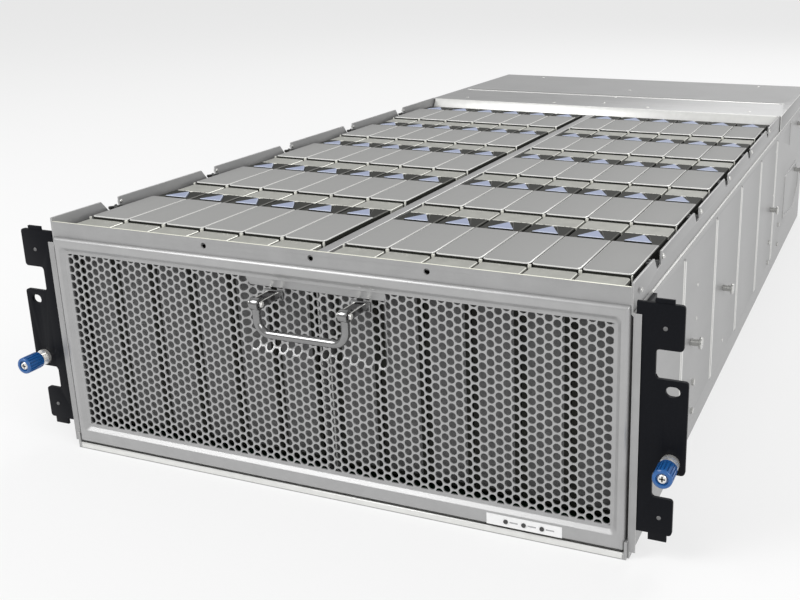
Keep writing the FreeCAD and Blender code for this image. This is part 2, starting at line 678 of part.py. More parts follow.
def make_bail():
    """The bent rod of the front handle, with an eye on each bracket's pin."""
    rod, bend, drop = "bail_rod", "bail_bend", "bail_drop"
    half = "bail_span / 2"
    pieces = []
    for side, word in ((-1, "left"), (1, "right")):
        x = "%d * %s" % (side, half)
        leg = primitive("Part::Cylinder", "bail_leg_" + word,
                        {"Radius": rod, "Height": "%s - %s" % (drop, bend)},
                        x, "bail_y", "bail_z - %s + %s" % (drop, bend))
        corner = primitive("Part::Torus", "bail_corner_" + word, {"Radius1": bend, "Radius2": rod},
                           "%s - %d * %s" % (x, side, bend), "bail_y", "bail_z - %s + %s" % (drop, bend))
        corner.Angle3 = 90
        turn = FreeCAD.Rotation(FreeCAD.Vector(1, 0, 0), 90)
        about = FreeCAD.Rotation(FreeCAD.Vector(0, 0, 1), 180 if side < 0 else -90)
        corner.Placement = FreeCAD.Placement(corner.Placement.Base, turn.multiply(about))
        eye = primitive("Part::Cylinder", "bail_eye_" + word,
                        {"Radius": "bail_eye", "Height": "eye_width - 2 * slide_gap"},
                        "%s - eye_width / 2 + slide_gap" % x, "bail_y", "bail_z")
        eye.Placement = FreeCAD.Placement(eye.Placement.Base, FreeCAD.Rotation(FreeCAD.Vector(0, 1, 0), 90))
        pieces.extend([leg, corner, eye])
    bar = primitive("Part::Cylinder", "bail_bar", {"Radius": rod, "Height": "bail_span - 2 * bail_bend"},
                    "bail_bend - bail_span / 2", "bail_y", "bail_z - bail_drop")
    bar.Placement = FreeCAD.Placement(bar.Placement.Base, FreeCAD.Rotation(FreeCAD.Vector(0, 1, 0), 90))
    pieces.append(bar)
    rod_shape = combine("Part::MultiFuse", "bail_rod_shape", pieces)
    bore = primitive("Part::Cylinder", "bail_bore",
                     {"Radius": "bail_pin + pin_gap", "Height": "2 * bail_span"},
                     "-bail_span", "bail_y", "bail_z")
    bore.Placement = FreeCAD.Placement(bore.Placement.Base, FreeCAD.Rotation(FreeCAD.Vector(0, 1, 0), 90))
    handle = combine("Part::Cut", "front_handle", [rod_shape, bore])
    place(handle)
    finish(handle, "front_handle")


# ---------------------------------------------------------------- rack ears, screws and studs

def make_ear(name, side):
    """One rack ear: a notched plate beside the bezel and a flange screwed along the wall."""
    body = new_body(name)
    root = "body_width / 2 + slide_gap"
    tip = "rack_width / 2"
    neck = "body_width / 2 + ear_neck"
    upper = "rack_width / 2 - flange_reach"
    lower = "rack_width / 2 - flange_reach * 1.8"
    slot_z = "screw_z + rack_unit"
    plate = [(root, "ear_low"), (lower, "ear_low"), (lower, "screw_z - 24"), (neck, "screw_z - 24"),
             (neck, "screw_z - 7"), (tip, "screw_z - 7"), (tip, slot_z + " + 7"), (neck, slot_z + " + 7"),
             (neck, slot_z + " + 25"), (upper, slot_z + " + 25"), (upper, "ear_high"), (root, "ear_high")]
    pad(body, "XZ", "ear_front", "ear_sheet", [side_points(side, plate)])
    flange = rectangle(root, "ear_front + ear_sheet / 2", root + " + ear_sheet", "ear_front + ear_return")
    pad(body, "XY", "ear_low + ear_corner", "ear_high - ear_low - 4 * ear_corner",
        [side_points(side, flange)])
    for low, high in (("ear_high - seam", "ear_high + ear_sheet"),
                      ("ear_low - 2 * ear_sheet", "ear_low + seam")):
        tab = rectangle("rack_holes / 2 - ear_neck", low, "rack_holes / 2 - seam", high)
        pad(body, "XZ", "ear_front + seam", "ear_sheet - seam", [side_points(side, tab)])
    column = "%d * rack_holes / 2" % side
    straight = "(slot_length / 2 - slot_radius)"
    level, depth = "ear_front - seam", "ear_sheet + 2 * seam"
    pocket(body, "XZ", level, depth, [rectangle(column + " - " + straight, slot_z + " - slot_radius",
                                                column + " + " + straight, slot_z + " + slot_radius")])
    for sign in (-1, 1):
        centre = "%s + %d * %s" % (column, sign, straight)
        pocket(body, "XZ", level, depth, circles=[(centre, slot_z, "slot_radius")])
    pocket(body, "XZ", level, depth, circles=[(column, "screw_z", "shank_radius + 2 * slide_gap")])


def make_thumbscrew(name, side):
    """One captive thumbscrew: knob, shank and thread turned about one axis."""
    body = new_body(name, "%d * rack_holes / 2" % side, "0", "screw_z")
    back = "knob_front + knob_length"
    revolve(body, [("0", "knob_front"), ("knob_radius - seam", "knob_front"),
                   ("knob_radius", "knob_front + seam"),
                   ("knob_radius", back), ("shank_radius", back),
                   ("shank_radius", "ear_front + 2 * ear_sheet"),
                   ("thread_radius", "ear_front + 2 * ear_sheet"), ("thread_radius", "thread_end"),
                   ("0", "thread_end")])


def make_ferrules():
    """The pressed ferrules that hold the thumbscrews captive on the ears."""
    body = new_body("thumbscrew_ferrules")
    column = "rack_holes / 2"
    level = "ear_front - ferrule_length"
    rings = [pad(body, "XZ", level, "ferrule_length", circles=[(column, "screw_z", "ferrule_radius")]),
             pocket(body, "XZ", level, "ferrule_length",
                    circles=[(column, "screw_z", "shank_radius + pin_gap")])]
    mirror_left(body, rings)


STUD_LINE = "body_height - band_height - bead_clear * 2.6"
STUD_PLACES = (("body_depth * 0.188", "stud_z"), ("body_depth * 0.337", "stud_z"),
               ("body_depth * 0.657", "stud_z"),
               ("body_depth * 0.91", "stud_z"), ("body_depth * 0.91", STUD_LINE),
               ("body_depth * 0.982", STUD_LINE))
SCREW_PAIRS = ("body_depth * 0.203", "body_depth * 0.659", "body_depth * 0.748")


def make_rail_studs():
    """The shouldered studs on both walls that the rack's rails hook onto."""
    body = new_body("rail_studs")
    wall = "body_width / 2"
    neck = pad(body, "YZ", wall, "stud_length", circles=[(y, z, "stud_neck") for y, z in STUD_PLACES])
    head = pad(body, "YZ", wall + " + stud_length - stud_cap", "stud_cap",
               circles=[(y, z, "stud_head") for y, z in STUD_PLACES])
    mirror_left(body, [neck, head])


def make_machine_screws():
    """The heads of the low screws on the walls and on the rear cover."""
    body = new_body("machine_screws")
    heads = [hexagon(y, z, "screw_radius") for y in SCREW_PAIRS for z in ("stud_z / 4", "stud_z * 0.54")]
    sides = pad(body, "YZ", "body_width / 2", "screw_rise", heads)
    mirror_left(body, [sides])


# ---------------------------------------------------------------- drive bay

def carrier_profile(first_row=False):
    """A carrier seen from the side: drive bay below, tongue in front and latch deck behind.

    The tongues of the first row end behind the beam's ledge, so that these drives lift past it.
    """
    front, rear = "carrier_front", "carrier_front + carrier_length"
    top = "body_height - cap_drop"
    deck = top + " - cap_sheet - slide_gap"
    low = "board_z + board_sheet + plug_height + slide_gap"
    step = "(carrier_length - drive_length) / 4"
    under = deck + " - 2 * seam"
    tongue = top + " - tongue_drop"
    back = [(rear + " - " + step, low), (rear + " - " + step, under), (rear, under),
            (rear, top + " - latch_rise"),
            ("cap_front + cap_length + seam", top + " - latch_rise"), ("cap_front + cap_length + seam", deck),
            ("cap_front - 2 * seam", deck), ("cap_front - 2 * seam", tongue)]
    if first_row:
        face = "beam_ledge + slide_gap"
        return [(face, low)] + back + [(face, tongue)]
    return [(front + " + " + step, low)] + back + [(front, tongue), (front, under),
                                                   (front + " + " + step, under)]


def drive_x(column):
    """The left edge of the carrier in that column, counted from the divider to the right."""
    return "bay_half_gap + column_pitch * %d + carrier_gap / 2" % column


def make_single_drive():
    """The last drive of the first row: its carrier, disk drive, handle and latch, each a piece of its own."""
    column = int(size("columns")) - 1
    x = drive_x(column)
    width = "column_pitch - carrier_gap"
    carrier = new_body("drive_carrier")
    pad(carrier, "YZ", x, width, [carrier_profile(first_row=True)])
    hollow_x = "%s + (%s - drive_width) / 2" % (x, width)
    hollow_y = "carrier_front + (carrier_length - drive_length) / 2"
    hollow_z = "board_z + board_sheet + plug_height + slide_gap"
    outline = rectangle(hollow_x, hollow_y, hollow_x + " + drive_width", hollow_y + " + drive_length")
    pocket(carrier, "XY", hollow_z, "drive_height - 4 * seam", [outline])
    drive = new_body("disk_drive")
    inside = rectangle(hollow_x + " + slide_gap / 3", hollow_y + " + slide_gap / 3",
                       hollow_x + " + drive_width - slide_gap / 3",
                       hollow_y + " + drive_length - slide_gap / 3")
    pad(drive, "XY", hollow_z, "drive_height - 4 * seam", [inside])
    handle = new_body("carrier_handle")
    top = "body_height - cap_drop"
    low = top + " - cap_sheet"
    nose = "cap_front + cap_sheet / 2"
    pad(handle, "YZ", x, width, circles=[(nose, top + " - cap_sheet / 2", "cap_sheet / 2")])
    pad(handle, "YZ", x, width, [rectangle(nose, low, "cap_front + cap_length", top)])
    cut_front_corners(handle, x, width)
    latch = new_body("carrier_latch")
    base = "cap_front + cap_length + seam * 8"
    middle = "%s + (%s) / 2" % (x, width)
    button = [(middle + " - latch_width / 2", base), (middle + " + latch_width / 2", base),
              (middle, base + " + latch_length")]
    pad(latch, "XY", top + " - latch_rise", "latch_rise", [button])
    return latch


def cut_front_corners(handle, x, width):
    """Cuts off both front corners of a carrier handle."""
    low = "body_height - cap_drop - cap_sheet"
    for corner, turn in ((x, 1), (x + " + " + width, -1)):
        cut = [(corner, "cap_front"), ("%s + %d * cap_corner" % (corner, turn), "cap_front"),
               (corner, "cap_front + cap_corner")]
        pocket(handle, "XY", low, "cap_sheet", [cut])


def solid_carrier(first_row):
    """A carrier with its drive inside, as one closed solid."""
    scratch = doc.addObject("PartDesign::Body", "carrier_with_drive")
    profile = carrier_profile(first_row)
    pad(scratch, "YZ", drive_x(int(size("columns")) - 1), "column_pitch - carrier_gap", [profile])
    return scratch


def plain_handle():
    """A carrier handle with a chamfered front edge, for the rows."""
    scratch = doc.addObject("PartDesign::Body", "row_handle")
    x, width = drive_x(int(size("columns")) - 1), "column_pitch - carrier_gap"
    top = "body_height - cap_drop"
    low = top + " - cap_sheet"
    side = [("cap_front", low + " + seam * 1.5"), ("cap_front + seam * 1.5", low),
            ("cap_front + cap_length", low),
            ("cap_front + cap_length", top), ("cap_front", top)]
    pad(scratch, "YZ", x, width, [side])
    cut_front_corners(scratch, x, width)
    return scratch


def drive_pitch():
    """Drives, side to side, as a number."""
    return (size("body_width") / 2 - size("bay_side") - size("bay_half_gap")) / size("columns")


def bank_offsets(row_index, skip_last):
    """Where the copies of the single drive stand in one row, on both sides of the divider."""
    columns, pitch = int(size("columns")), drive_pitch()
    y = row_index * size("row_pitch")
    right = [(-pitch * step, y, 0) for step in range(1 if skip_last else 0, columns)]
    jump = 2 * size("bay_half_gap") + pitch * (columns - 1) + pitch
    return right + [(-jump - pitch * step, y, 0) for step in range(columns)]


def make_drive_rows(latch):
    """The other fifty-nine drives: each row's carriers, handles and latches are three sub-parts."""
    front_carrier, carrier, handle = solid_carrier(True), solid_carrier(False), plain_handle()
    doc.recompute()
    for row_index in range(int(size("rows"))):
        row = row_index + 1
        offsets = bank_offsets(row_index, row_index == 0)
        copies("carriers_row_%d" % row, (carrier if row_index else front_carrier).Tip.Shape.copy(), offsets)
        copies("handles_row_%d" % row, handle.Tip.Shape.copy(), offsets)
        copies("latches_row_%d" % row, latch.Tip.Shape.copy(), offsets)


def make_connectors():
    """The connector under every drive."""
    plug = Part.makeBox(size("plug_width"), size("plug_length"), size("plug_height"))
    x = size("bay_half_gap") + drive_pitch() * (size("columns") - 0.5) - size("plug_width") / 2
    y = size("carrier_front") + (size("carrier_length") - size("plug_length")) / 2
    shape = plug.translated(FreeCAD.Vector(x, y, size("board_z") + size("board_sheet")))
    offsets = []
    for row_index in range(int(size("rows"))):
        offsets.extend(bank_offsets(row_index, False))
    copies("drive_connectors", shape, offsets)


# ---------------------------------------------------------------- rear compartment

def make_rear_panel():
    """The frame at the rear with a window for each module."""
    body = new_body("rear_panel")
    half = "body_width / 2 - band_step - wall_sheet"
    top = "body_height - bead_rise - wall_sheet"
    gap = "slide_gap"
    outlines = [rectangle("-(%s)" % half, "pan_sheet", half, top)]
    for x0, x1, z0, z1 in module_windows():
        outlines.append(rectangle("%s - %s" % (x0, gap), "%s - %s" % (z0, gap), "%s + %s" % (x1, gap),
                                  "%s + %s" % (z1, gap)))
    pad(body, "XZ", "body_depth - wall_sheet", "wall_sheet", outlines)


PSU_X = ("io_half_width + 2 * seam", "body_width / 2 - 2 * flange_reach")
PSU_Z = ("pan_sheet + 2 * slide_gap", "deck_z - 2 * slide_gap")
MIDDLE_Z = "(deck_z / 2)"
IO_Z = (("pan_sheet + 2 * slide_gap", MIDDLE_Z + " - deck_sheet / 2 - 2 * slide_gap"),
        (MIDDLE_Z + " + deck_sheet / 2 + slide_gap", "deck_z - 2 * slide_gap"))
FAN_Z = ("deck_z + deck_sheet + slide_gap * 2", "body_height - cap_drop")


def module_windows():
    """The outlines of all rear modules as (x0, x1, z0, z1)."""
    windows = [(PSU_X[0], PSU_X[1], PSU_Z[0], PSU_Z[1]),
               ("-(%s)" % PSU_X[1], "-(%s)" % PSU_X[0], PSU_Z[0], PSU_Z[1])]
    for low, high in IO_Z:
        windows.append(("seam - io_half_width", "io_half_width - seam", low, high))
    for column in range(4):
        middle = "fan_pitch * %g" % (column - 1.5)
        windows.append((middle + " - fan_width / 2", middle + " + fan_width / 2", FAN_Z[0], FAN_Z[1]))
    return windows


def make_rear_shelf():
    """The sheet shelf that parts fans, power supplies and I/O modules."""
    body = new_body("rear_shelf")
    half = "body_width / 2 - band_step - wall_sheet"
    leg, web = "io_half_width", "io_half_width + deck_sheet"
    outline = [("-(%s)" % half, "deck_z + deck_sheet"), ("-(%s)" % half, "deck_z"), ("-(%s)" % web, "deck_z"),
               ("-(%s)" % web, "pan_sheet"), ("-" + leg, "pan_sheet"),
               ("-" + leg, MIDDLE_Z + " - deck_sheet / 2"),
               (leg, MIDDLE_Z + " - deck_sheet / 2"), (leg, "pan_sheet"), (web, "pan_sheet"), (web, "deck_z"),
               (half, "deck_z"), (half, "deck_z + deck_sheet")]
    upper = rectangle("-" + leg, MIDDLE_Z + " + deck_sheet / 2", leg, "deck_z")
    pad(body, "XZ", "module_front", "body_depth - wall_sheet - module_front", [outline, upper])


def make_fan(index):
    """One fan module with its air way, motor shaft, slotted face and handle loop, and its rotor."""
    x = "fan_pitch * %g" % (index - 1.5)
    z = "(%s + %s) / 2" % FAN_Z
    body = new_body("fan_module_%d" % (index + 1), x, "body_depth", z)
    half, high = "fan_width / 2", "((%s) - (%s)) / 2" % (FAN_Z[1], FAN_Z[0])
    pad(body, "XZ", "-fan_depth", "fan_depth", [rectangle("-" + half, "-" + high, half, high)])
    pocket(body, "XZ", "-fan_depth", "fan_depth - face_sheet", circles=[("0", "0", "fan_bore")])
    slots = []
    for line in range(-3, 4):
        reach = "fan_bore * %g" % math.cos(math.asin(abs(line) / 4))
        low, top = "fan_bore * %g - fan_bore / 12" % (line / 4), "fan_bore * %g + fan_bore / 12" % (line / 4)
        for side in (-1, 1):
            slots.append(side_points(side, rectangle("shank_radius * 1.5", low, reach + " * 0.96", top)))
    pocket(body, "XZ", "-face_sheet - seam", "face_sheet + 2 * seam", slots)
    pad(body, "XZ", "-hub_length - fan_depth / 4", "hub_length + fan_depth / 4 - face_sheet / 2",
        circles=[("0", "0", "shank_radius")])
    loop = "fan_width / 5"
    bar = "handle_bar / 2"
    outer = [("-" + loop, "-face_sheet / 2"), ("-" + loop, "loop_reach - " + bar),
             (bar + " - " + loop, "loop_reach"),
             (loop + " - " + bar, "loop_reach"), (loop, "loop_reach - " + bar), (loop, "-face_sheet / 2"),
             (loop + " - " + bar, "-face_sheet / 2"), (loop + " - " + bar, "loop_reach - " + bar),
             (bar + " - " + loop, "loop_reach - " + bar), (bar + " - " + loop, "-face_sheet / 2")]
    pad(body, "XY", "fan_bore + seam - face_sheet", "handle_bar / 2", [outer])
    rotor = new_body("fan_rotor_%d" % (index + 1), x, "body_depth - fan_depth / 2 - hub_length / 2", z)
    pad(rotor, "XZ", "-hub_length / 2", "hub_length", circles=[("0", "0", "hub_radius")])
    lean, thick, deep = "hub_radius * 0.3", "blade_sheet / 2", "hub_length * 0.42"
    blade = [("-%s - %s" % (lean, thick), "-" + deep), ("%s - %s" % (thick, lean), "-" + deep),
             ("%s + %s" % (lean, thick), deep), ("%s - %s" % (lean, thick), deep)]
    vane = pad(rotor, "XY", "hub_radius * 0.9", "fan_bore - 1.3 * rotor_gap - hub_radius * 0.9", [blade])
    pattern = rotor.newObject("PartDesign::PolarPattern", "blade_ring")
    pattern.Originals = [vane]
    pattern.Axis = ([item for item in rotor.Origin.OriginFeatures if item.Role == "Y_Axis"][0], [""])
    pattern.Angle = 360
    rotor.Tip = pattern
    pattern.setExpression("Occurrences", formula("blades"))
    pocket(rotor, "XZ", "-hub_length / 2 + blade_sheet", "hub_length",
           circles=[("0", "0", "shank_radius + pin_gap")])


def make_power_supply(word, side):
    """One power supply with inlet, vents and the fold-out handle on its rear face."""
    body = new_body("power_supply_" + word, "0", "body_depth")
    case = rectangle(PSU_X[0], PSU_Z[0], PSU_X[1], PSU_Z[1])
    pad(body, "XZ", "-module_depth", "module_depth", [side_points(side, case)])
    middle = "((%s + %s) / 2)" % PSU_X
    inlet = rectangle(middle + " + hub_radius * 0.4", "deck_z * 0.68", middle + " + hub_radius * 2",
                      "deck_z * 0.9")
    pocket(body, "XZ", "-loop_reach", "loop_reach + seam", [side_points(side, inlet)])
    vents = [side_points(side, rectangle("%s - hub_radius * 2" % middle, "deck_z * %g" % low,
                                         "%s - hub_radius * 0.2" % middle, "deck_z * %g" % (low + 0.035)))
             for low in (0.68, 0.74, 0.8, 0.86)]
    vents += [side_points(side, rectangle("%s - hub_radius * 1.2" % middle, "deck_z * %g" % low,
                                          "%s + hub_radius * 1.2" % middle, "deck_z * %g" % (low + 0.035)))
              for low in (0.24, 0.3, 0.36, 0.42)]
    pocket(body, "XZ", "-2 * face_sheet", "2 * face_sheet + seam", vents)
    for sign in (-1, 1):
        lug = "%s + %d * (hub_radius * 2 + handle_bar / 2 + slide_gap)" % (middle, sign)
        foot = [(lug, "deck_z * 0.09"), ("%s + %d * cheek_sheet" % (lug, sign), "deck_z * 0.09"),
                ("%s + %d * cheek_sheet" % (lug, sign), "deck_z * 0.23"), (lug, "deck_z * 0.23")]
        pad(body, "XZ", "-seam", "handle_bar * 1.6 + seam", [side_points(side, foot)])
        start = "%d * (%s)" % (side, lug)
        inward = "handle_bar / 2"
        level = start if side * sign < 0 else "%s - %s" % (start, inward)
        pad(body, "YZ", level, inward, circles=[("handle_bar", "deck_z * 0.16", "bail_pin")])
    handle = new_body("power_supply_handle_" + word, "%d * %s" % (side, middle), "body_depth + handle_bar",
                      "deck_z * 0.16")
    reach, bar = "hub_radius * 2", "handle_bar / 2"
    grip = "deck_z * 0.45"
    frame = [("-%s - %s" % (reach, bar), "-%s" % bar), ("-%s - %s" % (reach, bar), grip),
             ("-%s + %s" % (reach, bar), grip + " + handle_bar"),
             ("%s - %s" % (reach, bar), grip + " + handle_bar"),
             ("%s + %s" % (reach, bar), grip), ("%s + %s" % (reach, bar), "-%s" % bar),
             ("%s - %s" % (reach, bar), "-%s" % bar), ("%s - %s" % (reach, bar), grip),
             ("-%s + %s" % (reach, bar), grip),
             ("-%s + %s" % (reach, bar), "-%s" % bar)]
    pad(handle, "XZ", "-%s" % bar, "handle_bar", [frame])
    pocket(handle, "YZ", "-3 * %s" % reach, "6 * %s" % reach, circles=[("0", "0", "bail_pin + pin_gap")])


def make_io_module(word, low, high):
    """One I/O module with its ports and the lever that pulls it out."""
    body = new_body("io_module_" + word, "0", "body_depth")
    half = "(io_half_width - seam)"
    pad(body, "XZ", "-module_depth", "module_depth", [rectangle("-" + half, low, half, high)])
    middle = "((%s + %s) / 2)" % (low, high)
    ports = []
    for port in range(4):
        x = "handle_bar * %g - io_half_width" % (2.5 + 4 * port)
        ports.append(rectangle(x, middle + " + seam", x + " + handle_bar * 2.8",
                               middle + " + handle_bar * 2"))
    for port in range(2):
        x = "handle_bar * %g" % (1 + 3.2 * port)
        ports.append(rectangle(x, middle + " + seam", x + " + handle_bar * 2.4",
                               middle + " + handle_bar * 2.2"))
    pocket(body, "XZ", "-loop_reach", "loop_reach + seam", ports)
    vents = [rectangle("io_half_width * 0.56 + handle_bar * %d" % slot, middle + " + seam",
                       "io_half_width * 0.56 + handle_bar * %g" % (slot + 0.5),
                       middle + " + handle_bar * 2.2")
             for slot in range(6)]
    pocket(body, "XZ", "-2 * face_sheet", "2 * face_sheet + seam", vents)
    pivot_x, pivot_y, pivot_z = "io_half_width * 0.87", "handle_bar", middle + " - handle_bar * 1.6"
    tall = "handle_bar * 0.8"
    for sign in (-1, 1):
        near = "%s + %d * (%s + slide_gap)" % (pivot_z, sign, tall)
        level = near if sign > 0 else near + " - cheek_sheet"
        pad(body, "XY", level, "cheek_sheet", [rectangle(pivot_x + " - handle_bar / 2", "-seam",
                                                        pivot_x + " + handle_bar / 2", "handle_bar * 1.5")])
    pad(body, "XY", "%s - %s - cheek_sheet / 2" % (pivot_z, tall), "2 * %s + cheek_sheet" % tall,
        circles=[(pivot_x, pivot_y, "bail_pin")])
    lever = new_body("io_lever_" + word, pivot_x, "body_depth + handle_bar", pivot_z)
    bar = "handle_bar / 2"
    arm = [(bar, "-%s" % bar), (bar, bar), ("-lever_length * 0.9", bar),
           ("-lever_length", bar + " + bail_pin * 2"),
           ("-lever_length - bail_pin", bar + " + bail_pin"), ("-lever_length * 0.92", "0"),
           ("-%s" % bar, "0"),
           ("-%s" % bar, "-%s" % bar)]
    pad(lever, "XY", "-%s" % tall, "2 * %s" % tall, [arm])
    pocket(lever, "XY", "-2 * %s" % tall, "4 * %s" % tall, circles=[("0", "0", "bail_pin + pin_gap")])


# ---------------------------------------------------------------- the whole shelf

def make_everything():
    """Builds every sub-part in its place."""
    make_base_pan()
    make_side_wall("left_side_wall", -1)
    make_side_wall("right_side_wall", 1)
    make_front_top_beam()
    make_centre_divider()
    make_cross_beams()
    make_backplane()
    make_bulkhead()
    make_rear_cover()
    make_front_bezel()
    make_status_strip()
    make_bail_brackets()
    make_bail()
    make_ear("left_rack_ear", -1)
    make_ear("right_rack_ear", 1)
    make_ferrules()
    make_thumbscrew("left_thumbscrew", -1)
    make_thumbscrew("right_thumbscrew", 1)
    make_rail_studs()
    make_machine_screws()
    make_drive_rows(make_single_drive())
    make_connectors()
    make_rear_panel()
    make_rear_shelf()
    for index in range(4):
        make_fan(index)
    make_power_supply("left", -1)
    make_power_supply("right", 1)
    make_io_module("lower", *IO_Z[0])
    make_io_module("upper", *IO_Z[1])


def check_everything():
    """Stops when a feature failed, a shape is not valid or a pocket removed nothing."""
    for item in doc.Objects:
        if "Invalid" in item.State or "Error" in item.State:
            raise ValueError("%s of %s failed" % (item.Name, [parent.Label for parent in item.InList]))
        if item.TypeId == "PartDesign::Pocket":
            before = item.BaseFeature.Shape.Volume
            if item.Shape.Volume > before - 0.01:
                raise ValueError("%s of %s removes nothing" % (item.Name,
                                                               item.getParentGeoFeatureGroup().Label))
    for item in sub_parts:
        if item.Shape.isNull() or not item.Shape.isValid() or item.Shape.Volume <= 0:
            raise ValueError(item.Label + " has no valid solid")


def export_everything():
    """Writes one STEP file for each sub-part."""
    os.makedirs("parts", exist_ok=True)
    for item in sub_parts:
        item.Shape.exportStep("parts/%s.step" % item.Label)


make_everything()
doc.recompute()
check_everything()
export_everything()
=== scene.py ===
# %% [markdown]
# # A disk shelf enclosure, dressed for the camera
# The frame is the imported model: every piece that moves already sits at its real place. This lesson adds the
# looks. Each step says what a piece is on the real shelf, how it could be made, and why this way was
# chosen.

# %% Load the fixed frame
import math
import bpy
import bmesh
from mathutils import Matrix, Vector


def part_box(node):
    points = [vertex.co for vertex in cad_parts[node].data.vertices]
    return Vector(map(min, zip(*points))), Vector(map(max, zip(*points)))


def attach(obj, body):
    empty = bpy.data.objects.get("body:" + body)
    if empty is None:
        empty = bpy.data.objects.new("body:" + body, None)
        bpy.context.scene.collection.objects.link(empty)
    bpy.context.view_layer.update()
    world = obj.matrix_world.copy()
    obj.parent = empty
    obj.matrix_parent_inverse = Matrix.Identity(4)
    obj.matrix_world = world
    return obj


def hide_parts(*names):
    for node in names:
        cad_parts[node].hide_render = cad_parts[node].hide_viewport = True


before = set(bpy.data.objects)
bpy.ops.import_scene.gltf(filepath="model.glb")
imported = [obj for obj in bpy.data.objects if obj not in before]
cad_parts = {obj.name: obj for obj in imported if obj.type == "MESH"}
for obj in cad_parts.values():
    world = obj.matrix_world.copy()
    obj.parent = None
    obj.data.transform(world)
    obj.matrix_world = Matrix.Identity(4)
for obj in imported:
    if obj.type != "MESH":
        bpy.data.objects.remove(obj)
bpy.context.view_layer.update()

# %% [markdown]
# ## Planes and sizes
# The main planes could be typed in, but then a changed frame would leave the looks behind, so they are read
# from the nodes' boxes. Lengths are in metres. `front` is the bezel's face.

# %% Planes read from the frame
MM = 0.001
bezel_low, bezel_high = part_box("front_bezel")
cover_low, cover_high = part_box("rear_top_cover")
front = bezel_low.y
rear = cover_high.y
row_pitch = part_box("handles_row_2")[0].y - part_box("handles_row_1")[0].y


def at(x, y, z):
    """A place in millimetres, counted from the middle of the bezel's lower edge, as a frame position."""
    return Vector((x * MM, front + y * MM, z * MM))


print("front", front, "rear", rear, "row pitch", row_pitch)

# %% [markdown]
# ## Camera
# The shelf is seen from its right front corner, from a little above. It is long and close to the lens, so
# the perspective is strong. Tilting the camera would make its upright edges lean, so a small lens shift
# frames it instead.

# %% Camera
camera_data = bpy.data.cameras.new("camera")
camera_data.lens = 45.91
camera_data.sensor_width = 36
camera_data.shift_x = -0.16
camera_data.shift_y = -0.0615
camera = bpy.data.objects.new("camera", camera_data)
bpy.context.scene.collection.objects.link(camera)
camera.location = at(344.1, -519.1, 355.1)
camera.rotation_euler = [math.radians(turn) for turn in (73.255, 0.265, 20.735)]
bpy.context.scene.camera = camera
print("camera", tuple(camera.location))

# %% [markdown]
# ## Selecting and settling
# Every new piece starts as a primitive and is shaped in edit mode. Operators act on whatever is selected,
# so each helper first clears the selection. A joint turns a piece about the frame's origin, so a finished
# piece has its place baked into its mesh.

# %% Helpers that select and settle
def mode(name):
    """Switches between object mode and edit mode."""
    bpy.ops.object.mode_set(mode=name)


def deselect():
    """Leaves object mode with nothing selected."""
    if bpy.context.object and bpy.context.object.mode != "OBJECT":
        mode("OBJECT")
    bpy.ops.object.select_all(action="DESELECT")


def only(obj):
    """Makes one object the active and only selected one."""
    deselect()
    obj.select_set(True)
    bpy.context.view_layer.objects.active = obj


def settle(obj, name):
    """Names a piece and bakes its place, turn and scale into its mesh."""
    only(obj)
    obj.name = name
    obj.data.name = name
    bpy.ops.object.transform_apply(location=True, rotation=True, scale=True)
    return obj

# %% [markdown]
# ## Picking parts of a mesh
# An element could be picked by its number, but numbers change with each operator before it. Here a test on
# its place, or on the way it faces, picks it, and also says in words what is meant.

# %% Helpers that pick and change a mesh
def pick(obj, kind, test):
    """In edit mode, selects only the vertices, edges or faces that pass a test on their middle and normal."""
    bpy.ops.mesh.select_all(action="DESELECT")
    bpy.ops.mesh.select_mode(type=kind)
    shape = bmesh.from_edit_mesh(obj.data)
    items = {"VERT": shape.verts, "EDGE": shape.edges, "FACE": shape.faces}[kind]
    for item in items:
        if kind == "FACE":
            chosen = test(item.calc_center_median(), item.normal)
        elif kind == "EDGE":
            chosen = test(item.verts[0].co, item.verts[1].co)
        else:
            chosen = test(item.co)
        if chosen:
            item.select_set(True)
    shape.select_flush_mode()
    bmesh.update_edit_mesh(obj.data)


def cut(place, normal, **settings):
    """In edit mode, cuts the whole mesh along a plane."""
    bpy.ops.mesh.select_all(action="SELECT")
    bpy.ops.mesh.bisect(plane_co=place, plane_no=normal, **settings)


def apply_modifier(obj, kind, **settings):
    """Adds a modifier with these settings and applies it at once."""
    only(obj)
    modifier = obj.modifiers.new(kind.lower(), kind)
    for key, value in settings.items():
        setattr(modifier, key, value)
    bpy.ops.object.modifier_apply(modifier=modifier.name)


def soften(obj, width, segments, angle, **settings):
    """Rounds every edge that turns by more than an angle in degrees."""
    apply_modifier(obj, "BEVEL", width=width, segments=segments, limit_method="ANGLE",
                   angle_limit=math.radians(angle), **settings)


def join(objects, name):
    """Joins pieces into one and settles it."""
    deselect()
    for obj in objects:
        obj.select_set(True)
    bpy.context.view_layer.objects.active = objects[0]
    if len(objects) > 1:
        bpy.ops.object.join()
    return settle(objects[0], name)


def smooth(piece, angle=35):
    """Shades a piece smooth except across sharp edges."""
    only(piece)
    bpy.ops.object.shade_smooth_by_angle(angle=math.radians(angle))

# %% [markdown]
# ## Finishes
# The chassis is plated sheet steel. A fully metallic surface mirrors the white room and loses its grey, but
# plating scatters light widely, so it is rough and only partly metallic. Noise in the colour and the gloss
# stands for its grain: unlike a painted picture, it has no seams and needs no file.

# %% Material helper
MATERIALS, SLOTS = {}, {}


def set_inputs(node, **values):
    """Sets a shader node's inputs; a name's underscores stand for spaces."""
    for name, value in values.items():
        node.inputs[name.replace("_", " ")].default_value = value


